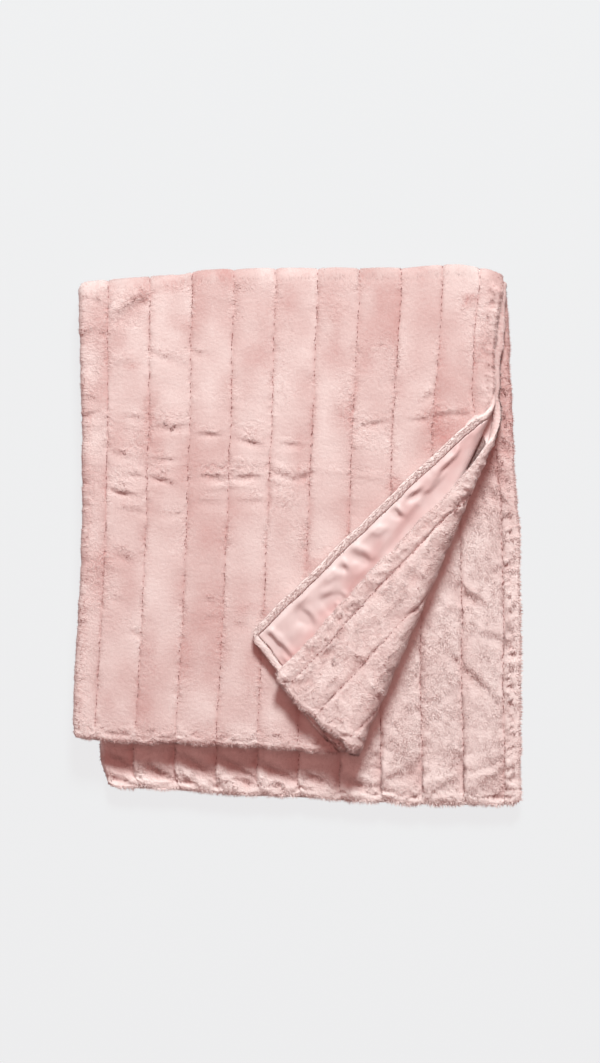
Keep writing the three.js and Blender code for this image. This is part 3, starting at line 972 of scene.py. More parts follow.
    def outer(self, c: Array, v: Array) -> Array:
        """Height of the fur's body under the ends of its pile.

        Each rib rises from its seam by an exponential step, with a low crown, and takes on creases and
        soft noise. Rim and floor limit it.

        Args:
            c: cloth points' first measure.
            v: their second measure.

        Returns:
            A height for each point, in millimetres.
        """
        cloth = self.cloth
        seams = cloth.seams()
        away = cloth.seam_gap(c)
        rib = np.searchsorted(seams, c) * 17.0
        tight = 1 + 0.5 * soft_noise(rib, v, 21, 14) + 0.45 * soft_noise(rib, v, 7, 15)
        rise = 1 - np.exp(-((away / (self.shoulder * tight)) ** 1.1))
        mid = np.clip(away / (cloth.seam_pitch / 2), 0, 1)
        crest = self.crest - self.crown * (1 - mid) ** 2
        inset = cloth.inset(c, v)
        layer = cloth.layer(c, v)
        reach = np.clip((inset - self.seam_end) / 12, 0, 1) * np.clip(0.8 + 0.6 * (tight - 1), 0.3, 1)
        drawn = np.clip(0.62 + 0.7 * soft_noise(rib * 3.0, v, 70, 18), 0.15, 1)
        share = np.where(layer == Layer.TURNED.value, drawn, 0.8)
        reach = reach * np.where(layer == Layer.TOP.value, 0.55, share)
        height = crest - (crest - self.seam_floor) * (1 - rise) * reach
        curl = self.curl(c, v)
        lumps = 0.5 * soft_noise(c, v, 34, 11) + (0.2 + 0.5 * curl) * soft_noise(c, v, 13, 12)
        lumps = lumps + (0.1 + 0.5 * curl) * soft_noise(c, v, 6.5, 13)
        shake = 1.9 * soft_noise(c + v * 0.6, v * 1.3, 12, 16) + 1.3 * soft_noise(c + v * 0.7, v, 5.5, 19)
        crinkle = np.exp(-(((inset - 13) / 9) ** 2)) * shake
        lively = self.crease_layers(c, v) + lumps + crinkle + self.tilt(c, v)
        lively = lively * np.clip(0.25 + rise, 0, 1)
        height = height + np.where(layer == Layer.FLOOR.value, 0.0, lively)
        return np.minimum(np.maximum(height, self.thinnest), self.rim(c, v) + 0.5 * crinkle)

    def tilt(self, c: Array, v: Array) -> Array:
        """Slant of each rib of the lower layer where it comes out under the hem: its left side stands up.

        It falls evenly from seam to seam, and fades out under the upper pair.

        Args:
            c: cloth points' first measure.
            v: their second measure.

        Returns:
            The height to add at each point, in millimetres.
        """
        cloth = self.cloth
        seams = cloth.seams()
        rib = np.clip(np.searchsorted(seams, c), 0, len(seams) - 1)
        share = np.clip((seams[rib] - c) / cloth.seam_pitch, 0, 1)
        hem_gap = cloth.hem_gap(v)
        out = np.clip((self.tilt_band - hem_gap) / 20, 0, 1) * np.clip(hem_gap / 20, 0, 1)
        lower = cloth.layer(c, v) == Layer.LOWER.value
        return np.where(lower, self.rib_tilt * (0.45 - share) * out, 0.0)

    def back_painted_light(self, c: Array, v: Array) -> Array:
        """Painted light on the turned edge's tone: palest on the corner that is turned back, where it faces
        the sky.

        Args:
            c: cloth points' first measure.
            v: their second measure.

        Returns:
            A tone for each point, from 0 to 1.
        """
        _, radius = self.cloth.roll(c)
        turned = np.clip(self.cloth.past_roll(c, v) / radius - 1.7, 0, 1)
        return 0.45 + 0.35 * turned

    def inner(self, c: Array, v: Array) -> Array:
        """Height of the fur's back: on the lining's side under the turned edge, and flat within it.

        Args:
            c: cloth points' first measure.
            v: their second measure.

        Returns:
            A height for each point, in millimetres.
        """
        inset = self.cloth.inset(c, v)
        drop = self.rim_drop
        keys = [0, 0.6, 1.6, 3.2, 6, 9, self.rim_band, self.rim_band + 0.5]
        values = [self.edge_inner, 0.4, -0.9, -1.6, -drop, -1.8, -1.3, 0.15]
        return SmoothCurve(keys, values)(inset)


def linear(colour: str) -> tuple[float, float, float, float]:
    """A colour in linear light from an sRGB hex value.

    Args:
        colour: the hex value, with its hash sign.

    Returns:
        Red, green, blue and an alpha of 1.
    """
    parts = [int(colour[i : i + 2], 16) / 255 for i in (1, 3, 5)]
    light = [p / 12.92 if p <= 0.04045 else ((p + 0.055) / 1.055) ** 2.4 for p in parts]
    return light[0], light[1], light[2], 1.0


def add_node(
    tree: bpy.types.NodeTree, kind: str, links: dict | None = None, **settings: object
) -> bpy.types.Node:
    """Adds a node with its settings, and gives each named input a link or a value.

    Args:
        tree: the material's node tree.
        kind: the node's type name.
        links: input name or number to an output socket or a plain value.
        **settings: the node's own properties.

    Returns:
        The node.
    """
    node = tree.nodes.new(kind)
    for name, value in settings.items():
        setattr(node, name, value)
    for name, value in (links or {}).items():
        if isinstance(value, bpy.types.NodeSocket):
            tree.links.new(value, node.inputs[name])
        else:
            node.inputs[name].default_value = value
    return node


def new_material(name: str) -> tuple[bpy.types.Material, bpy.types.NodeTree, bpy.types.Node]:
    """An empty node material, its tree, and its Principled shader joined to the output.

    Args:
        name: the material's name.

    Returns:
        The material, its tree and its shader.
    """
    material = bpy.data.materials.new(name)
    material.use_nodes = True
    tree = material.node_tree
    tree.nodes.clear()
    shader = add_node(tree, "ShaderNodeBsdfPrincipled")
    add_node(tree, "ShaderNodeOutputMaterial", {"Surface": shader.outputs["BSDF"]})
    return material, tree, shader


@dataclass(frozen=True)
class PlushFur:
    """Acrylic plush fur, knitted and sheared. Dense fine pile scatters light, so it has no gloss, a soft
    sheen at its edges, and shifts in tone where the nap lies another way."""

    # deep is the ramp's darkest tone, and also the colour of the painted shade at tuft roots and in seams
    # and creases.
    deep: str = "#b3746f"
    body: str = "#cdaba7"
    pale: str = "#e6cfcb"
    # Colour towards which the painted shade on the top fold darkens the fur.
    shadow: str = "#6a423e"
    roughness: float = 0.85
    sheen: float = 0.25
    lock: float = 5.0
    fluff: float = 2.4

    def make(self) -> bpy.types.Material:
        """The fur's material, from the pile's attributes and mottling over the cloth, with painted shade at
        tuft roots, in seams and creases, and on the top fold.

        lock is the size of the clumps that the pile gathers in and fluff their height, in millimetres.

        Returns:
            The material.
        """
        material, tree, shader = new_material("plush_fur")
        nap, unshaded, curl, painted_fold_shade = (
            add_node(tree, "ShaderNodeAttribute", attribute_name=name).outputs["Fac"]
            for name in ("nap", "unshaded", "curl", "painted_fold_shade")
        )
        cloth = add_node(tree, "ShaderNodeUVMap", uv_map="cloth").outputs["UV"]
        mottle = add_node(
            tree,
            "ShaderNodeTexNoise",
            {"Vector": cloth, "Scale": 1 / (self.lock * MM), "Detail": 3.0, "Roughness": 0.65},
        ).outputs["Fac"]
        swing = add_node(
            tree, "ShaderNodeMath", {0: curl, 1: 0.65, 2: 0.22}, operation="MULTIPLY_ADD"
        ).outputs[0]
        centred = add_node(tree, "ShaderNodeMath", {0: mottle, 1: 0.5}, operation="SUBTRACT").outputs[0]
        shade = add_node(
            tree, "ShaderNodeMath", {0: centred, 1: swing, 2: nap}, operation="MULTIPLY_ADD"
        ).outputs[0]
        tone = add_node(tree, "ShaderNodeValToRGB", {"Fac": shade})
        ramp = tone.color_ramp
        ramp.elements[0].color = linear(self.deep)
        ramp.elements[1].color = linear(self.pale)
        ramp.elements.new(0.5).color = linear(self.body)
        # Painted shade: mixes towards the deep colour at tuft roots and in seams and creases.
        root = add_node(
            tree,
            "ShaderNodeMix",
            {"Factor": unshaded, MIX_FROM: linear(self.deep), MIX_TO: tone.outputs["Color"]},
            data_type="RGBA",
        )
        # Painted shade: the top fold's colour is mixed towards the shadow colour.
        dimmed = add_node(
            tree,
            "ShaderNodeMix",
            {"Factor": painted_fold_shade, MIX_FROM: root.outputs[MIX_RESULT], MIX_TO: linear(self.shadow)},
            data_type="RGBA",
        )
        tree.links.new(dimmed.outputs[MIX_RESULT], shader.inputs["Base Color"])
        bump = add_node(
            tree, "ShaderNodeBump", {"Height": mottle, "Strength": swing, "Distance": self.fluff * MM}
        )
        tree.links.new(bump.outputs["Normal"], shader.inputs["Normal"])
        shader.inputs["Roughness"].default_value = self.roughness
        shader.inputs["Specular IOR Level"].default_value = 0.15
        shader.inputs["Sheen Weight"].default_value = self.sheen
        shader.inputs["Sheen Roughness"].default_value = 0.45
        shader.inputs["Sheen Tint"].default_value = linear(self.body)
        return material


@dataclass(frozen=True)
class SatinLining:
    """Polyester lining, woven fine and smooth. It shines softly and shows every crease.

    cloud is the size of its soft changes of tone, thread the spacing of its threads and weave_height how
    far they stand up, in millimetres. The weave is too fine to show, so it is drawn coarser.
    """

    body: str = "#dcc1be"
    shade: str = "#c8a4a1"
    # Colour of the painted shade and bounced pink light beside the fur.
    rose: str = "#bd8380"
    roughness: float = 0.42
    cloud: float = 35.714
    thread: float = 0.9
    coarser: float = 20.0
    weave_height: float = 0.3

    def make(self) -> bpy.types.Material:
        """The lining's material: two near tones in clouds, painted rose shade beside the fur, and a faint
        slanting weave.

        Returns:
            The material.
        """
        material, tree, shader = new_material("satin_lining")
        cloth = add_node(tree, "ShaderNodeUVMap", uv_map="cloth").outputs["UV"]
        clouds = add_node(
            tree, "ShaderNodeTexNoise", {"Vector": cloth, "Scale": 1 / (self.cloud * MM), "Detail": 2.0}
        ).outputs["Fac"]
        tone = add_node(
            tree,
            "ShaderNodeMix",
            {"Factor": clouds, MIX_FROM: linear(self.shade), MIX_TO: linear(self.body)},
            data_type="RGBA",
        )
        # Painted shade: the lining is mixed towards rose beside the fur strip's edge.
        beside = add_node(tree, "ShaderNodeAttribute", attribute_name="painted_rose_shade").outputs["Fac"]
        rosy = add_node(
            tree,
            "ShaderNodeMix",
            {"Factor": beside, MIX_FROM: tone.outputs[MIX_RESULT], MIX_TO: linear(self.rose)},
            data_type="RGBA",
        )
        tree.links.new(rosy.outputs[MIX_RESULT], shader.inputs["Base Color"])
        spacing = self.thread * MM * self.coarser
        weave = add_node(
            tree,
            "ShaderNodeTexWave",
            {"Vector": cloth, "Scale": 1 / spacing, "Distortion": 1.5, "Detail": 2.0},
            bands_direction="DIAGONAL",
        ).outputs["Fac"]
        bump = add_node(
            tree, "ShaderNodeBump", {"Height": weave, "Strength": 0.12, "Distance": self.weave_height * MM}
        )
        tree.links.new(bump.outputs["Normal"], shader.inputs["Normal"])
        shader.inputs["Roughness"].default_value = self.roughness
        shader.inputs["Sheen Weight"].default_value = 0.2
        return material


@dataclass(frozen=True)
class SewingThread:
    """Spun polyester thread, sunk between the ribs, where little light reaches it. Its colours are darker
    than the fur's, as painted shade of the seams.

    twist is the length of its changes of tone, in millimetres.
    """

    colour: str = "#a46d69"
    shade: str = "#8a5653"
    roughness: float = 0.9
    twist: float = 2.5

    def make(self) -> bpy.types.Material:
        """The thread's material, with slight changes of tone along it.

        Returns:
            The material.
        """
        material, tree, shader = new_material("sewing_thread")
        place = add_node(tree, "ShaderNodeTexCoord").outputs["Object"]
        twist = add_node(
            tree, "ShaderNodeTexNoise", {"Vector": place, "Scale": 1 / (self.twist * MM), "Detail": 1.0}
        ).outputs["Fac"]
        tone = add_node(
            tree,
            "ShaderNodeMix",
            {"Factor": twist, MIX_FROM: linear(self.shade), MIX_TO: linear(self.colour)},
            data_type="RGBA",
        )
        tree.links.new(tone.outputs[MIX_RESULT], shader.inputs["Base Color"])
        shader.inputs["Roughness"].default_value = self.roughness
        return material


@dataclass(frozen=True)
class PaleFloor:
    """Matt painted board, evenly lit from within, so that shadows on it stay faint."""

    colour: str = "#404040"
    glow: str = "#e6e6e7"

    def make(self) -> bpy.types.Material:
        """The floor's material: most of its brightness is its own, and the rest takes shadows.

        Returns:
            The material.
        """
        material, _, shader = new_material("pale_floor")
        shader.inputs["Base Color"].default_value = linear(self.colour)
        shader.inputs["Roughness"].default_value = 1.0
        shader.inputs["Specular IOR Level"].default_value = 0.0
        shader.inputs["Emission Color"].default_value = linear(self.glow)
        shader.inputs["Emission Strength"].default_value = 1.0
        return material


def nap_and_painted_light(cloth: FoldedCloth, c: Array, v: Array) -> Array:
    """Tone of the nap from 0, deep, to 1, pale.

    Each rib has a tone of its own, and long soft patches along it where the pile is stroked another way.
    The lower pair and the turned corner are more even, with finer patches. They are also paler, as painted
    light; the top layer is paler along the side fold, and the lower pair darker towards the top fold.

    Args:
        cloth: the fold.
        c: cloth points' first measure.
        v: their second measure.

    Returns:
        A tone for each point.
    """
    seams = cloth.seams()
    rib = np.searchsorted(seams, c)
    own = np.random.default_rng(21).uniform(-1, 1, len(seams) + 1)[rib]
    layer = cloth.layer(c, v)
    wide = soft_noise(np.asarray(c) + rib * 41.0, v, 60, 24)
    patches = soft_noise(np.asarray(c) + rib * 97.0, np.asarray(v) * 0.5, 22, 22)
    small = soft_noise(c, v, 8, 23)
    smooth = layer == Layer.TOP.value
    tone = 0.55 + np.where(smooth, 0.035, 0.03) * own + np.where(smooth, 0.13, 0.06) * wide
    tone = tone + np.where(smooth, 0.15, 0.08) * patches
    # Painted light: the lower pair and the turned corner, the same fur as the top layer, are paler. The
    # lower pair is darker towards the top fold, and the top layer paler along the side fold.
    lower = layer == Layer.LOWER.value
    tone = tone + np.where(lower, 0.33 - 0.55 * cloth.near_top(v), 0)
    tone = tone + np.where(layer == Layer.TURNED.value, 0.16, 0)
    tone = tone + np.where(smooth, 0.12 * np.exp(-((np.asarray(c) / 25) ** 2)), 0)
    x, y = bent(*cloth.plan(c, v), *PATCH_WANDER)
    for patch in ROUGH_PATCHES:
        if patch.paler:
            tone = tone + np.where(smooth, patch.paler * patch.reach(x, y), 0)
    return np.clip(tone + np.where(smooth | lower, 0.03, 0.07) * small, 0, 1)


def build_mesh(name: str, points: Array, faces: Array, sizes: Array) -> bpy.types.Mesh:
    """A mesh from whole arrays.

    Args:
        name: the mesh's name.
        points: places in metres, one row each.
        faces: corner numbers of every face, one after another.
        sizes: how many corners each face has.

    Returns:
        The mesh.
    """
    mesh = bpy.data.meshes.new(name)
    mesh.vertices.add(len(points))
    mesh.vertices.foreach_set("co", np.ascontiguousarray(points, np.float32).ravel())
    mesh.loops.add(len(faces))
    mesh.loops.foreach_set("vertex_index", np.ascontiguousarray(faces, np.int32))
    starts = np.concatenate([[0], np.cumsum(sizes)[:-1]])
    mesh.polygons.add(len(sizes))
    mesh.polygons.foreach_set("loop_start", starts.astype(np.int32))
    mesh.update(calc_edges=True)
    mesh.validate()
    return mesh


def dress(mesh: bpy.types.Mesh, cloth_points: Array, tones: dict[str, Array]) -> None:
    """Gives a mesh its cloth measures as a UV map in metres, its tones as attributes, and smooth faces.

    Args:
        mesh: the mesh.
        cloth_points: c and v of each vertex, in millimetres.
        tones: attribute name to a number for each vertex.
    """
    corners = np.empty(len(mesh.loops), np.int32)
    mesh.loops.foreach_get("vertex_index", corners)
    layer = mesh.uv_layers.new(name="cloth")
    layer.uv.foreach_set("vector", (cloth_points[corners] * MM).astype(np.float32).ravel())
    for name, values in tones.items():
        attribute = mesh.attributes.new(name, "FLOAT", "POINT")
        attribute.data.foreach_set("value", np.asarray(values, np.float32))
    mesh.polygons.foreach_set("use_smooth", np.ones(len(mesh.polygons), bool))


def add_piece(mesh: bpy.types.Mesh, material: bpy.types.Material, slot: Slot | None) -> bpy.types.Object:
    """An object for a mesh, with its material, riding on the part's one body.

    Args:
        mesh: the piece's mesh, which also names it.
        material: its material.
        slot: which material slot it belongs to, or None for the stage; only whether it is None is read, and
            the stage rides on no body.

    Returns:
        The object.
    """
    mesh.materials.append(material)
    piece = bpy.data.objects.new(mesh.name, mesh)
    bpy.context.scene.collection.objects.link(piece)
    if slot is not None:
        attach(piece, "root")
    LOG.info("%s: %d faces", piece.name, len(mesh.polygons))
    return piece


def zipper(first: Array, second: Array, first_at: Array, second_at: Array) -> Array:
    """Triangles that join two rows of points along rising measures, each step on the row that is behind.

    Args:
        first: vertex numbers of one row.
        second: vertex numbers of the other.
        first_at: rising measure of each point of the first row.
        second_at: the same for the second row.

    Returns:
        Vertex numbers, three for each triangle.
    """
    steps = np.concatenate([first_at[1:], second_at[1:]])
    of_first = np.concatenate([np.ones(len(first) - 1, bool), np.zeros(len(second) - 1, bool)])
    order = np.argsort(steps, kind="stable")
    of_first = of_first[order]
    i = np.concatenate([[0], np.cumsum(of_first)[:-1]])
    j = np.concatenate([[0], np.cumsum(~of_first)[:-1]])
    next_first = first[np.minimum(i + 1, len(first) - 1)]
    next_second = second[np.minimum(j + 1, len(second) - 1)]
    third = np.where(of_first, next_first, next_second)
    return np.stack([first[i], third, second[j]], axis=-1)


def sheet_mesh(
    name: str, cloth: FoldedCloth, faces: tuple[Face, Face], rows: Array
) -> tuple[bpy.types.Mesh, Array]:
    """A closed sheet of cloth: both faces are grids on the same rows, joined at the sides and ends.

    Args:
        name: the mesh's name.
        cloth: the fold.
        faces: for the fur side and then the lining side, columns c and a height function.
        rows: rising v of the rows.

    Returns:
        The mesh, and c and v of each vertex.
    """
    (out_c, out_n), (in_c, in_n) = faces
    ring = np.concatenate([out_c, in_c[::-1]])
    c, v = np.meshgrid(ring, rows)
    split = len(out_c)
    n = np.concatenate([out_n(c[:, :split], v[:, :split]), in_n(c[:, split:], v[:, split:])], axis=1)
    points = cloth.world(c, v, n).reshape(-1, 3)
    count = len(ring)
    index = np.arange(c.size).reshape(c.shape)
    after = np.roll(index, -1, axis=1)
    quads = np.stack([index[:-1], index[1:], after[1:], after[:-1]], axis=-1).reshape(-1, 4)
    low, high = (zipper(line[:split], line[split:][::-1], out_c, in_c) for line in (index[0], index[-1]))
    triangles = np.concatenate([low, high[:, ::-1]])
    corners = np.concatenate([quads.ravel(), triangles.ravel()])
    sizes = np.concatenate([np.full(len(quads), 4), np.full(len(triangles), 3)])
    LOG.info("%s: ring of %d, %d rows", name, count, len(rows))
    return build_mesh(name, points, corners, sizes), np.stack([c.ravel(), v.ravel()], axis=-1)


def spread_lines(stops: list[float], spacing: Sequence[float]) -> Array:
    """Evenly spaced lines in each stretch between stops, as close as the stretch's spacing.

    Args:
        stops: rising places where one stretch ends and the next starts.
        spacing: distance between lines on each stretch.

    Returns:
        Every line's place, once.
    """
    parts = []
    for low, high, gap in zip(stops[:-1], stops[1:], spacing):
        parts.append(np.linspace(low, high, max(2, int(round((high - low) / gap)) + 1)))
    return np.unique(np.round(np.concatenate(parts), 4))


@dataclass
class FurShell:
    """The ribbed fur cloth, with its turned edge, as one closed sheet.

    Its sizes place the lines of its grid, in millimetres: offsets from the seams, insets from the cut
    edges, and the distance between rows on each stretch.
    """

    cloth: FoldedCloth
    relief: FurRelief
    seam_offsets: tuple[float, ...] = (0.0, 1.4, 3.2, 6.2, 11.0, 19.0)
    edge_insets: tuple[float, ...] = (0, 0.5, 1.5, 3, 5, 8, 11, 14, 18, 24)
    back_insets: tuple[float, ...] = (0, 0.6, 1.6, 3.2, 6, 9, 10, 10.5)
    beside_fold: tuple[float, ...] = (-12, -7, 7, 12)
    fold_lines: int = 9
    back_fold_lines: int = 5
    back_reach: float = 560.0
    back_lines: int = 15
    closest: float = 0.35
    fold_row: float = 2.2
    upper_row: float = 4.5
    crease_row: float = 2.5
    creased_rows: tuple[float, float] = (190.0, 350.0)
    lower_row: float = 12.0
    hem_row: float = 3.6
    hem_reach: float = 90.0

    def columns(self) -> Array:
        """c of the outer face's lines: close beside each seam and the cut edges, and round the fold.

        Returns:
            Rising places along c.
        """
        cloth = self.cloth
        seams = cloth.seams()
        offsets = np.array(self.seam_offsets)
        near = np.concatenate([seams[:, None] - offsets, seams[:, None] + offsets], axis=1).ravel()
        mids = (seams[1:] + seams[:-1]) / 2
        bend = np.linspace(-cloth.side_arc, cloth.side_arc, self.fold_lines)
        insets = np.array(self.edge_insets)
        edges = np.concatenate([cloth.outer_width - insets, insets - cloth.inner_width])
        lines = np.unique(np.round(np.concatenate([near, mids, bend, self.beside_fold, edges]), 3))
        inside = (lines >= -cloth.inner_width) & (lines <= cloth.outer_width)
        lines = lines[inside]
        keep = np.concatenate([[True], np.diff(lines) > self.closest])
        keep[-1] = True
        return lines[keep]

    def back_columns(self) -> Array:
        """c of the back's lines: at the turned edge, and few between.

        Returns:
            Rising places along c.
        """
        cloth = self.cloth
        insets = np.array(self.back_insets)
        bend = np.linspace(-cloth.side_arc, cloth.side_arc, self.back_fold_lines)
        middle = np.linspace(-self.back_reach, self.back_reach, self.back_lines)
        edges = np.concatenate([cloth.outer_width - insets, insets - cloth.inner_width])
        return np.unique(np.round(np.concatenate([edges, bend, middle]), 3))

    def rows(self) -> Array:
        """v of the rows: closest on the upper pair and at the lower hem.

        Returns:
            Rising places along v.
        """
        cloth = self.cloth
        insets = np.array(sorted({*self.edge_insets, *self.back_insets}))
        low, high = insets[-1] - cloth.lower_length, cloth.upper_length - insets[-1]
        hem = self.hem_reach - cloth.lower_length
        arc = cloth.top_arc
        stops = [low, hem, -arc, arc, *self.creased_rows, high]
        spacing = [
            self.hem_row,
            self.lower_row,
            self.fold_row,
            self.upper_row,
            self.crease_row,
            self.upper_row,
        ]
        body = spread_lines(stops, spacing)
        edges = np.concatenate([cloth.upper_length - insets, insets - cloth.lower_length])
        return np.unique(np.round(np.concatenate([body, edges]), 3))

    def build(self, material: bpy.types.Material) -> bpy.types.Object:
        """The fur cloth as a piece.

        Args:
            material: what it is dressed in.

        Returns:
            The piece.
        """
        mesh, points = sheet_mesh(
            "fur_cloth",
            self.cloth,
            ((self.columns(), self.relief.outer), (self.back_columns(), self.relief.inner)),
            self.rows(),
        )
        c, v = points[:, 0], points[:, 1]
        # Painted shade: a deeper colour in seams and creases, where the fur's body lies low.
        unshaded = 0.9 - 0.4 * self.relief.hollow(c, v)
        on_back = np.resize(np.arange(len(points) // len(self.rows())) >= len(self.columns()), len(points))
        tones = {
            "nap": np.where(on_back, self.relief.back_painted_light(c, v), nap_and_painted_light(self.cloth, c, v)),
            "unshaded": np.where(on_back, 1.0, unshaded),
            "curl": self.relief.curl(c, v),
            "painted_fold_shade": self.relief.painted_fold_shade(c, v),
        }
        dress(mesh, points, tones)
        return add_piece(mesh, material, Slot.FUR)


@dataclass
class Lining:
    """The smooth lining, sewn inside the fur's turned edge, with loose creases where it shows.

    The strip's two points are the ends of the cut edge of the fur that lies on it, seen from above. The
    gaps are the distances between lines on each stretch of its grid, which is finest where it shows.
    """

    cloth: FoldedCloth
    inset: float = 10.9
    thickness: float = 1.2
    sewn_gap: float = 0.15
    strip_low: tuple[float, float] = (-27.0, -214.0)
    strip_high: tuple[float, float] = (277.0, 172.0)
    free_from: float = 470.0
    visible_from: float = 200.0
    column_gaps: tuple[float, ...] = (28, 1.2, 28, 2.3)
    row_gaps: tuple[float, ...] = (30, 4, 25, 2.6)
    slack: float = 4.5

    def loose(self, c: Array, v: Array) -> Array:
        """How far the lining stands off the fur where it lies open on the turned corner.

        Listed creases and soft noise, fading out at the sewn edge and under the turned fur.

        Args:
            c: cloth points' first measure.
            v: their second measure.

        Returns:
            A distance for each point, in millimetres.
        """
        cloth = self.cloth
        past = cloth.past_roll(c, v)
        _, radius = cloth.roll(c)
        turned = (np.asarray(c) > 0) & (past > 2.2 * radius)
        x, y = cloth.plan(c, v)
        waves = 2.4 + 1.5 * crease_height(LINING_CREASES, x, y) + 0.9 * soft_noise(x + y, x - y, 30, 31)
        waves = waves + 0.5 * soft_noise((x + y) * 0.5, x - y, 13, 32)
        sewn = np.clip((cloth.inset(c, v) - self.inset) / 6, 0, 1)
        return np.where(turned, np.clip(waves, 0, self.slack) * sewn * self.uncovered(x, y), 0.0)

    def face_on_fur(self, c: Array, v: Array) -> Array:
        """Height of the face that lies on the fur's back."""
        return -self.sewn_gap - 0.85 * self.loose(c, v)

    def open_face(self, c: Array, v: Array) -> Array:
        """Height of the face that shows."""
        return -(self.sewn_gap + self.thickness) - self.loose(c, v)

    def from_strip(self, x: Array, y: Array) -> Array:
        """Distance of places from the cut edge of the fur strip that lies on the turned corner.

        Args:
            x: places seen from above.
            y: the same.

        Returns:
            Distances in millimetres, positive on the open lining.
        """
        cut_low, cut_high = np.array(self.strip_low), np.array(self.strip_high)
        run = (cut_high - cut_low) / np.linalg.norm(cut_high - cut_low)
        return (x - cut_low[0]) * -run[1] + (y - cut_low[1]) * run[0]

    def uncovered(self, x: Array, y: Array) -> Array:
        """1 where the lining lies open to the sky on the turned corner, fading to 0 under the fur strip."""
        return np.clip((self.from_strip(x, y) + 8) / 10, 0, 1)

    def painted_rose_shade(self, c: Array, v: Array) -> Array:
        """Painted rose shade on the lining beside the fur strip's edge, from 0 to 1, in uneven tongues: the
        fur's shade and the pink light it bounces.

        Args:
            c: cloth points' first measure.
            v: their second measure.

        Returns:
            A number for each point.
        """
        x, y = self.cloth.plan(c, v)
        reach = 15 + 8 * soft_noise(x + y, x - y, 22, 33)
        tongues = np.clip(0.55 + 0.6 * soft_noise(x + y, x - y, 26, 34), 0, 1)
        return 0.6 * tongues * np.exp(-((np.abs(self.from_strip(x, y)) / reach) ** 2))

    def build(self, material: bpy.types.Material) -> bpy.types.Object:
        """The lining as a closed thin sheet.

        Args:
            material: what it is dressed in.

        Returns:
            The piece.
        """
        cloth = self.cloth
        left, right = self.inset - cloth.inner_width, cloth.outer_width - self.inset
        low, high = self.inset - cloth.lower_length, cloth.upper_length - self.inset
        columns = spread_lines(
            [left, -cloth.side_arc, cloth.side_arc, self.free_from, right], self.column_gaps
        )
        rows = spread_lines([low, -cloth.top_arc, cloth.top_arc, self.visible_from, high], self.row_gaps)
        faces = ((columns, self.face_on_fur), (columns, self.open_face))
        mesh, points = sheet_mesh("lining_cloth", cloth, faces, rows)
        dress(mesh, points, {"painted_rose_shade": self.painted_rose_shade(points[:, 0], points[:, 1])})
        return add_piece(mesh, material, Slot.LINING)


class TopView:
    """Heights of the whole fold seen from above, by which hidden pile is told from pile that shows."""

    def __init__(
        self, cloth: FoldedCloth, relief: FurRelief, cell: float = 4.0, reach: float = 440.0
    ) -> None:
        """Takes the highest point in each square cell of the ground, then of its neighbours too.

        Args:
            cloth: the fold.
            relief: the fur's heights.
            cell: side of a cell in millimetres.
            reach: half the side of the square of ground that is covered.
        """
        self.cell, self.reach = cell, reach
        steps = np.arange(-cloth.inner_width, cloth.outer_width, cell * 0.8)
        rows = np.arange(-cloth.lower_length, cloth.upper_length, cell * 0.8)
        c, v = np.meshgrid(steps, rows)
        points = cloth.place(c, v, relief.outer(c, v)).reshape(-1, 3)
        size = int(2 * reach / cell)
        self.heights = np.zeros((size, size))
        np.maximum.at(self.heights, self.cells(points), points[:, 2])
        padded = np.pad(self.heights, 1)
        shifts = [padded[i : i + size, j : j + size] for i in range(3) for j in range(3)]
        self.heights = np.max(shifts, axis=0)

    def cells(self, points: Array) -> tuple[Array, Array]:
        """Cell numbers of places."""
        index = ((points[..., :2] + self.reach) / self.cell).astype(int)
        return index[..., 0], index[..., 1]

    def buried(self, points: Array) -> Array:
        """How far below the highest cloth near it each place lies, in millimetres."""
        return self.heights[self.cells(points)] - points[..., 2]


@dataclass(frozen=True)
class Tuft:
    """How one kind of tuft is grown and brushed. Lengths are millimetres.

    rise is how far its far end stands over the fur's body and sunk how deep its roots sit in it. sleek is
    how much it shades as part of one smooth surface, from 0 to 1.
    """

    length: float
    width: float
    rise: float
    sunk: float
    sleek: float

    def towards(self, other: Tuft, share: Array) -> dict[str, Array]:
        """Each of the tuft's sizes, carried a share of the way towards another kind's."""
        start, end = asdict(self), asdict(other)
        return {name: start[name] + (end[name] - start[name]) * share for name in start}


class TuftKind(Enum):
    """The two ends between which every tuft lies: brushed flat, and curled."""

    FLAT = Tuft(length=5.0, width=2.0, rise=0.35, sunk=0.3, sleek=0.85)
    CURLED = Tuft(length=3.1, width=0.9, rise=1.5, sunk=0.8, sleek=0.25)


class PileZone(Enum):
    """Distance between tufts, in millimetres, on each stretch of the cloth."""

    TOP = 1.75
    LOWER = 1.7
    CORNER = 1.45
    EDGES = 2.0
    FRINGE = 1.9
    RIM = 1.5


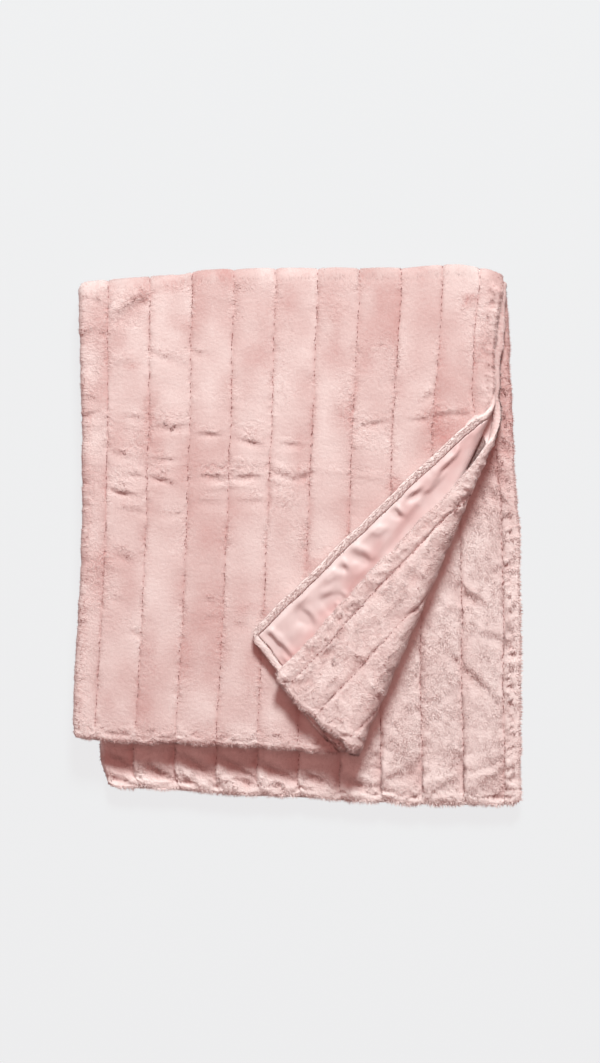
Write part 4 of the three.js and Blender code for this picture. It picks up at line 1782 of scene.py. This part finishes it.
@dataclass
class Pile:
    """The pile as fine tufts, each a slim closed spike that leans with the nap.

    The bands are distances from a cut edge or a fold within which tufts are kept, and the limits are how
    far below the highest cloth they may lie. corner_start and rim_start are counted in radii of the
    corner's roll, from where it begins.
    """

    cloth: FoldedCloth
    relief: FurRelief
    view: TopView
    cut_gap: float = 0.4
    edge_band: float = 15.0
    cut_band: float = 7.0
    fringe_band: float = 5.0
    fold_band: float = 26.0
    side_band: float = 9.0
    turned_band: float = 30.0
    buried_limit: float = 9.0
    side_limit: float = 60.0
    bare_seam: float = 0.9
    flat_share: float = 0.3
    corner_start: float = 2.4
    rim_start: float = 1.2
    rim_insets: tuple[float, float] = (1.2, 9.6)
    rim_curl: float = 0.25
    floor_gap: float = 0.3
    scatter_seed: int = 60
    spike_seed: int = 70
    edge_number: int = 6
    rim_number: int = 7

    def scatter(self, bounds: Bounds, zone: PileZone, seed: int) -> tuple[Array, Array]:
        """Cloth points for tufts: a square lattice over the bounds, each point moved at random in its cell.

        Args:
            bounds: lowest and highest c, then lowest and highest v.
            zone: the stretch, whose value is the lattice's spacing.
            seed: for the random moves.

        Returns:
            c and v of the points.
        """
        rng = np.random.default_rng(seed)
        c_low, c_high, v_low, v_high = bounds
        gap = zone.value
        c, v = np.meshgrid(np.arange(c_low, c_high, gap), np.arange(v_low, v_high, gap))
        c = (c + rng.uniform(0, gap, c.shape)).ravel()
        v = (v + rng.uniform(0, gap, v.shape)).ravel()
        inside = (c < c_high) & (v < v_high) & (self.cloth.inset(c, v) > self.cut_gap)
        bare = self.bare_seam if zone is not PileZone.RIM else 0.0
        keep = inside & (self.cloth.seam_gap(c) > bare)
        if zone is PileZone.TOP:
            share = self.flat_share + (1 - self.flat_share) * self.relief.curl(c, v)
            keep &= rng.uniform(0, 1, len(c)) < share
        return c[keep], v[keep]

    def at_edge(self, c: Array, v: Array) -> Array:
        """Whether cloth points lie on a fold or beside a cut edge."""
        near_cut = self.cloth.inset(c, v) < self.edge_band
        return near_cut | (np.abs(c) < self.fold_band * 0.6) | (np.abs(v) < self.fold_band)

    def open_points(self, bounds: Bounds, zone: PileZone, seed: int) -> tuple[Array, Array]:
        """Points that show from above and aren't at an edge.

        Args:
            bounds: lowest and highest c, then lowest and highest v.
            zone: the stretch of cloth.
            seed: for the random moves.

        Returns:
            c and v of the points.
        """
        c, v = self.scatter(bounds, zone, seed)
        height = self.relief.outer(c, v)
        shows = self.view.buried(self.cloth.place(c, v, height)) < self.buried_limit
        keep = shows & ~self.at_edge(c, v)
        return c[keep], v[keep]

    def edge_points(self, seed: int) -> tuple[Array, Array]:
        """Points at the folds and cut edges that show from above or from a side.

        Within the stack, only the outer layers' fold and the bands right at the cut edges are kept.

        Args:
            seed: for the random moves.

        Returns:
            c and v of the points.
        """
        cloth = self.cloth
        bounds = (-cloth.inner_width, cloth.outer_width, -cloth.lower_length, cloth.upper_length)
        c, v = self.scatter(bounds, PileZone.EDGES, seed)
        extra_c, extra_v = self.scatter(bounds, PileZone.FRINGE, seed + 100)
        fringe = cloth.inset(extra_c, extra_v) < self.fringe_band
        c, v = np.concatenate([c, extra_c[fringe]]), np.concatenate([v, extra_v[fringe]])
        keep = self.at_edge(c, v)
        c, v = c[keep], v[keep]
        buried = self.view.buried(cloth.place(c, v, self.relief.outer(c, v)))
        at_fold = np.abs(v) < self.fold_band
        at_side = (cloth.inset(c, v) < self.cut_band) | (np.abs(c) < self.side_band)
        keep = (buried < self.buried_limit) | (at_side & (buried < self.side_limit)) | (at_fold & (c >= 0))
        inner_fold = at_fold & (c < 0) & (c > self.turned_band - cloth.inner_width)
        keep &= ~(inner_fold & (buried > self.buried_limit))
        _, radius = cloth.roll(c)
        keep &= ~((c > 0) & (cloth.past_roll(c, v) > self.corner_start * radius))
        return c[keep], v[keep]

    def directions(self, c: Array, v: Array, curl: Array, rng: np.random.Generator) -> Array:
        """The way each tuft leans, as an angle from +v towards +c.

        The nap runs towards the lower hem, turned by noise and chance, the more the more it curls. Close
        to a cut edge most tufts lean out over it.

        Args:
            c: cloth points' first measure.
            v: their second measure.
            curl: how curled the pile is there.
            rng: the source of chance.

        Returns:
            An angle for each tuft, in radians.
        """
        drift = (0.4 + 0.5 * curl) * soft_noise(c, v, 30, 41) + 1.4 * curl * soft_noise(c, v, 8, 42)
        turn = math.pi + drift + rng.normal(0, 1, len(c)) * (0.12 + 0.45 * curl)
        side_gap, hem_gap = self.cloth.side_gap(c), self.cloth.hem_gap(v)
        to_side = np.sign(c) * math.pi / 2
        to_hem = np.where(v > 0, 0.0, math.pi)
        out = np.where(side_gap < hem_gap, to_side, to_hem) + rng.normal(0, 0.55, len(c))
        leans_out = rng.uniform(0, 1, len(c)) < np.clip(1.5 - np.minimum(side_gap, hem_gap) / 7, 0, 1)
        return np.where(leans_out, out, turn)

    def spikes(self, name: str, c: Array, v: Array, seed: int, side: int = 1) -> bpy.types.Mesh:
        """Spikes at the given cloth points.

        Each has three root corners round its point, sunk in the fur's body, and a far corner that lies along
        its direction. Its sizes lie between the two kinds of tuft, by how curled the fur is there.

        Args:
            name: the mesh's name.
            c: where each stands, across the cloth.
            v: the same, along it.
            seed: for the random turns and lengths.
            side: 1 on the fur's face, -1 on the turned edge at its back.

        Returns:
            The mesh, with its attributes.
        """
        rng = np.random.default_rng(seed)
        count = len(c)
        cloth, relief = self.cloth, self.relief
        side_gap, hem_gap = cloth.side_gap(c), cloth.hem_gap(v)
        curl = relief.curl(c, v) if side > 0 else np.full(count, self.rim_curl)
        tuft = TuftKind.FLAT.value.towards(TuftKind.CURLED.value, curl)
        turn = self.directions(c, v, curl, rng)
        if side < 0:
            turn = np.where(side_gap < hem_gap, 0.0, QUARTER) + rng.normal(0, 0.5, count)
        size = rng.uniform(0.7, 1.25, count)
        body = relief.outer(c, v) if side > 0 else relief.inner(c, v)
        on_fold = np.clip(np.exp(-((v / 20) ** 2)) + np.exp(-((c / 10) ** 2)), 0, 1)
        lift = tuft["rise"] * size * (0.7 + 0.4 * soft_noise(c, v, 7, 43)) + 0.8 * on_fold * size
        reach = tuft["length"] * size * (1 - 0.6 * on_fold)
        if side > 0:
            reach = reach * (1 + 1.1 * np.exp(-(((hem_gap - 4.5) / 3.5) ** 2)))
        corners_c, corners_v, corners_n = [], [], []
        for step in range(3):
            angle = turn + step * 2 * math.pi / 3 + math.pi
            corners_c.append(c + np.sin(angle) * tuft["width"] * 0.5)
            corners_v.append(v + np.cos(angle) * tuft["width"] * 0.6)
            corners_n.append(body - tuft["sunk"] * side)
        corners_c.append(c + np.sin(turn) * reach)
        corners_v.append(v + np.cos(turn) * reach)
        corners_n.append(body + side * lift)
        all_c = np.stack(corners_c, axis=1).ravel()
        all_v = np.stack(corners_v, axis=1).ravel()
        points = cloth.world(all_c, all_v, np.stack(corners_n, axis=1).ravel())
        points[:, 2] = np.maximum(points[:, 2], self.floor_gap * MM)
        base = np.arange(count)[:, None, None] * 4
        # Three sides that meet at the tip, and the base.
        shape = np.array([[0, 1, 3], [1, 2, 3], [2, 0, 3], [0, 2, 1]])
        quad = points.reshape(-1, 4, 3)
        edges = quad[:, 1:] - quad[:, :1]
        outward = np.einsum("ij,ij->i", np.cross(edges[:, 0], edges[:, 1]), edges[:, 2]) > 0
        faces = (base + np.where(outward[:, None, None], shape, shape[:, ::-1])).reshape(-1, 3)
        mesh = build_mesh(name, points, faces.ravel(), np.full(len(faces), 3))
        own = rng.normal(0, 1, count) * (0.02 + 0.08 * curl)
        nap = nap_and_painted_light(cloth, c, v) if side > 0 else relief.back_painted_light(c, v)
        depth = relief.hollow(c, v) if side > 0 else np.zeros(count)
        tones = {
            "nap": np.clip(np.repeat(nap + own, 4), 0, 1),
            # Painted shade: a deeper colour at each tuft's root corners and in seams and creases.
            "unshaded": np.repeat(1 - 0.35 * depth, 4) * np.tile([0.6, 0.6, 0.6, 1.0], count),
            "curl": np.repeat(curl, 4),
            "painted_fold_shade": np.repeat(relief.painted_fold_shade(c, v), 4),
        }
        dress(mesh, np.stack([all_c, all_v], axis=-1), tones)
        even = np.maximum(tuft["sleek"], 0.8 * np.exp(-((hem_gap / 7) ** 2)))
        self.shade_as_surface(mesh, self.facing(c, v, side), even)
        return mesh

    def shade_as_surface(self, mesh: bpy.types.Mesh, facing: Array, sleek: Array) -> None:
        """Bends the normals of spikes towards the fur's own facing, by the share that sleek gives.

        Args:
            mesh: the spikes, four vertices each.
            facing: the fur's facing at each spike.
            sleek: each spike's share of that facing, from 0 to 1.
        """
        own = np.empty(len(mesh.vertices) * 3, np.float32)
        mesh.vertices.foreach_get("normal", own)
        facing = np.repeat(facing, 4, axis=0)
        sleek = np.repeat(sleek, 4)[:, None]
        mesh.normals_split_custom_set_from_vertices(unit(facing * sleek + own.reshape(-1, 3) * (1 - sleek)))

    def facing(self, c: Array, v: Array, side: int) -> Array:
        """The fur's own facing at each point: the cross product of the surface's steps along c and v.

        At a cut edge it is mixed with the facing a little way in, because the pile there hangs out level.

        Args:
            c: cloth points' first measure.
            v: their second measure.
            side: 1 on the fur's face, -1 on its back.

        Returns:
            A vector of length one for each point.
        """
        cloth = self.cloth
        step = 1.5
        body = self.relief.outer if side > 0 else self.relief.inner
        facings = []
        for inwards in (0.0, 10.0):
            near_c = np.sign(c) * np.minimum(np.abs(c), cloth.half_width(c) - inwards - step)
            near_v = np.sign(v) * np.minimum(np.abs(v), cloth.half_length(v) - inwards - step)
            here = cloth.place(near_c, near_v, body(near_c, near_v))
            across = cloth.place(near_c + step, near_v, body(near_c + step, near_v)) - here
            down = cloth.place(near_c, near_v + step, body(near_c, near_v + step)) - here
            facings.append(unit(side * np.cross(down, across)))
        at_point, further_in = facings
        level = np.where(further_in[:, 2:] > 0.3, 2.0, 0.0)
        return unit(at_point + level * further_in)

    def build(self, material: bpy.types.Material) -> list[bpy.types.Object]:
        """Every piece of pile: the top layer in three bands, the lower layer, the corner, edges and rim.

        Args:
            material: what it is dressed in.

        Returns:
            The pieces.
        """
        cloth = self.cloth
        right, left = cloth.outer_width, -cloth.inner_width
        top, low = cloth.upper_length, -cloth.lower_length
        bands = np.linspace(0, top, 4)
        plans = [
            (f"pile_top_{part}", PileZone.TOP, (0, right, bands[k], bands[k + 1]))
            for k, part in enumerate(("upper", "middle", "hem"))
        ]
        plans.append(("pile_lower", PileZone.LOWER, (left, 0, low, 0)))
        plans.append(("pile_corner", PileZone.CORNER, (left, 0, 0, top)))
        pieces = []
        for number, (name, zone, bounds) in enumerate(plans):
            c, v = self.open_points(bounds, zone, self.scatter_seed + number)
            mesh = self.spikes(name, c, v, self.spike_seed + number)
            pieces.append(add_piece(mesh, material, Slot.FUR))
        c, v = self.edge_points(self.scatter_seed + self.edge_number)
        for part, mine in (("upper", v >= 0), ("lower", v < 0)):
            mesh = self.spikes(f"pile_edges_{part}", c[mine], v[mine], self.spike_seed + self.edge_number)
            pieces.append(add_piece(mesh, material, Slot.FUR))
        c, v = self.rim_points(self.scatter_seed + self.rim_number)
        mesh = self.spikes("pile_rim", c, v, self.spike_seed + self.rim_number, -1)
        pieces.append(add_piece(mesh, material, Slot.FUR))
        return pieces

    def rim_points(self, seed: int) -> tuple[Array, Array]:
        """Points on the back of the turned edge, where the corner that is turned back shows it.

        Args:
            seed: for the random moves.

        Returns:
            c and v of the points.
        """
        cloth = self.cloth
        bounds = (0, cloth.outer_width, 0, cloth.upper_length)
        c, v = self.scatter(bounds, PileZone.RIM, seed)
        _, radius = cloth.roll(c)
        inset = cloth.inset(c, v)
        near, far = self.rim_insets
        keep = (inset > near) & (inset < far) & (cloth.past_roll(c, v) > self.rim_start * radius)
        return c[keep], v[keep]


@dataclass
class Stitching:
    """The thread in the seams between ribs: short dark stitches that the pile half hides, which also stand
    for the seams' shade as painted shade.
    """

    cloth: FoldedCloth
    relief: FurRelief
    view: TopView
    pitch: float = 5.6
    stitch: float = 4.0
    thick: float = 1.15
    sides: int = 5
    from_hem: float = 14.0
    buried_limit: float = 12.0
    seed: int = 81

    def spindles(self, name: str, c: Array, v: Array, n: Array, long: Array) -> bpy.types.Mesh:
        """Stitches as spindles along v: two rings of corners between two points.

        Args:
            name: the mesh's name.
            c: the middle of each stitch, across the cloth.
            v: the same, along it.
            n: its height.
            long: its length.

        Returns:
            The mesh, with its attributes.
        """
        sides = self.sides
        around = np.arange(sides) * 2 * math.pi / sides
        ring_c = np.concatenate([[0], np.cos(around), np.cos(around), [0]]) * self.thick / 2
        ring_n = np.concatenate([[0], np.sin(around), np.sin(around), [0]]) * self.thick / 2
        ring_v = np.concatenate([[-0.5], np.full(sides, -0.34), np.full(sides, 0.34), [0.5]])
        all_c = (c[:, None] + ring_c).ravel()
        all_v = (v[:, None] + ring_v * long[:, None]).ravel()
        all_n = (n[:, None] + ring_n).ravel()
        points = self.cloth.world(all_c, all_v, all_n)
        near = 1 + np.arange(sides)
        near_after = np.roll(near, -1)
        far, far_after = near + sides, near_after + sides
        last = 2 * sides + 1
        start = np.stack([np.zeros(sides, int), near, near_after], axis=-1)
        end = np.stack([np.full(sides, last), far_after, far], axis=-1)
        one = np.stack([near, far, far_after], axis=-1)
        two = np.stack([near, far_after, near_after], axis=-1)
        shape = np.concatenate([start, one, two, end])
        faces = (np.arange(len(c))[:, None, None] * (last + 1) + shape).reshape(-1, 3)
        mesh = build_mesh(name, points, faces.ravel(), np.full(len(faces), 3))
        dress(mesh, np.stack([all_c, all_v], axis=-1), {})
        return mesh

    def stitches_and_seam_shade(self, material: bpy.types.Material) -> bpy.types.Object:
        """Stitches along every seam that shows, uneven in length and place.

        Args:
            material: the thread's material.

        Returns:
            The piece.
        """
        cloth = self.cloth
        rng = np.random.default_rng(self.seed)
        rows = np.arange(self.from_hem - cloth.lower_length, cloth.upper_length - self.from_hem, self.pitch)
        c, v = (grid.ravel() for grid in np.meshgrid(cloth.seams(), rows))
        v = v + rng.uniform(-2.4, 2.4, len(v))
        c = c + rng.normal(0, 0.5, len(c))
        long = self.stitch * rng.uniform(0.35, 1.1, len(c))
        n = self.relief.outer(c, v) + rng.uniform(0.2, 1.2, len(c))
        shows = self.view.buried(cloth.place(c, v, n)) < self.buried_limit
        sewn_in = 0.45 + 0.45 * soft_noise(c * 0.37, v, 45, 82)
        top = (c > 0) & (v > 0)
        keep = shows & (rng.uniform(0, 1, len(c)) > np.where(top, sewn_in, 0.2))
        # Dark stitches: thread that also stands for painted shade in the seams.
        mesh = self.spindles("stitches_and_seam_shade", c[keep], v[keep], n[keep], long[keep])
        return add_piece(mesh, material, Slot.FUR)


@dataclass(frozen=True)
class Lamp:
    """A soft square lamp that looks at the throw and that the camera can't see.

    power is in watts, and colour its light as an sRGB hex value. size is its width and height, and distance
    how far it stands from the throw, in metres. elevation is degrees over the floor, as seen from the throw,
    and west degrees that it stands to the left of straight beyond the top edge.
    """

    name: str
    colour: str
    power: float
    size: tuple[float, float]
    elevation: float
    west: float
    distance: float

    def add(self) -> None:
        """Adds the lamp to the scene."""
        lamp = bpy.data.lights.new(self.name, "AREA")
        lamp.shape = "RECTANGLE"
        lamp.size, lamp.size_y = self.size
        lamp.energy = self.power
        lamp.color = linear(self.colour)[:3]
        light = bpy.data.objects.new(self.name, lamp)
        bpy.context.scene.collection.objects.link(light)
        up, turn = math.radians(self.elevation), math.radians(self.west)
        flat, height = self.distance * math.cos(up), self.distance * math.sin(up)
        light.location = (-flat * math.sin(turn), flat * math.cos(turn), height)
        light.rotation_euler = (QUARTER - up, 0, math.pi + turn)
        light.visible_camera = False


@dataclass
class Studio:
    """The pale floor, the soft light from beyond the top edge, and the camera straight above.

    Lengths are metres, apart from the pixel, the sensor and the middle of the view, which are millimetres.
    The middle is given from the cloth's own origin.
    """

    cloth: FoldedCloth
    floor_reach: float = 4.0
    sky: str = "#ffe4e0"
    sky_strength: float = 0.2
    photo_rows: int = 1063
    pixel: float = 1.5
    middle: tuple[float, float] = (3.75, 4.5)
    camera_height: float = 5.0
    sensor: float = 24.0
    clip_end: float = 50.0
    lamps: tuple[Lamp, ...] = (
        Lamp("window", "#e6ffff", 1240.0, (2.0, 1.6), elevation=WINDOW_ELEVATION, west=-6, distance=8.0),
        Lamp("bounce", "#ffb9b2", 175.0, (7.0, 7.0), elevation=88, west=0, distance=7.0),
    )

    def add_floor(self) -> None:
        """Adds the floor, which isn't part of the throw."""
        reach = self.floor_reach
        corners = [(-reach, -reach, 0), (reach, -reach, 0), (reach, reach, 0), (-reach, reach, 0)]
        mesh = bpy.data.meshes.new("floor")
        mesh.from_pydata(corners, [], [(0, 1, 2, 3)])
        floor = add_piece(mesh, PaleFloor().make(), None)

    def add_light(self) -> None:
        """Adds the faint light from all round, and the lamps."""
        world = bpy.data.worlds.new("studio")
        world.use_nodes = True
        background = world.node_tree.nodes["Background"]
        background.inputs["Color"].default_value = linear(self.sky)
        background.inputs["Strength"].default_value = self.sky_strength
        bpy.context.scene.world = world
        for lamp in self.lamps:
            lamp.add()

    def add_camera(self) -> None:
        """Adds the camera, whose lens frames the photo's height at the floor."""
        view = bpy.data.cameras.new("camera")
        camera = bpy.data.objects.new("camera", view)
        bpy.context.scene.collection.objects.link(camera)
        view.sensor_fit = "VERTICAL"
        view.sensor_height = self.sensor
        view.lens = self.sensor * self.camera_height / (self.photo_rows * self.pixel * MM)
        view.clip_end = self.clip_end
        x, y = ((middle + start) * MM for middle, start in zip(self.middle, self.cloth.origin))
        camera.location = (x, y, self.camera_height)
        bpy.context.scene.camera = camera
        bpy.context.scene.view_settings.view_transform = "Standard"

    def build(self) -> None:
        """Adds the floor, the light and the camera."""
        self.add_floor()
        self.add_light()
        self.add_camera()


def main() -> None:
    """Builds the throw on its frame and reports each piece."""
    logging.basicConfig(level=logging.INFO, format="%(name)s: %(message)s")
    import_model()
    cloth = FoldedCloth()
    relief = FurRelief(cloth)
    fur = PlushFur().make()
    shell = FurShell(cloth, relief).build(fur)
    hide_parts("fur_shell")
    lining = Lining(cloth).build(SatinLining().make())
    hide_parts("lining")
    view = TopView(cloth, relief)
    pile = Pile(cloth, relief, view).build(fur)
    stitches = Stitching(cloth, relief, view).stitches_and_seam_shade(SewingThread().make())
    Studio(cloth).build()


if __name__ == "__main__":
    main()
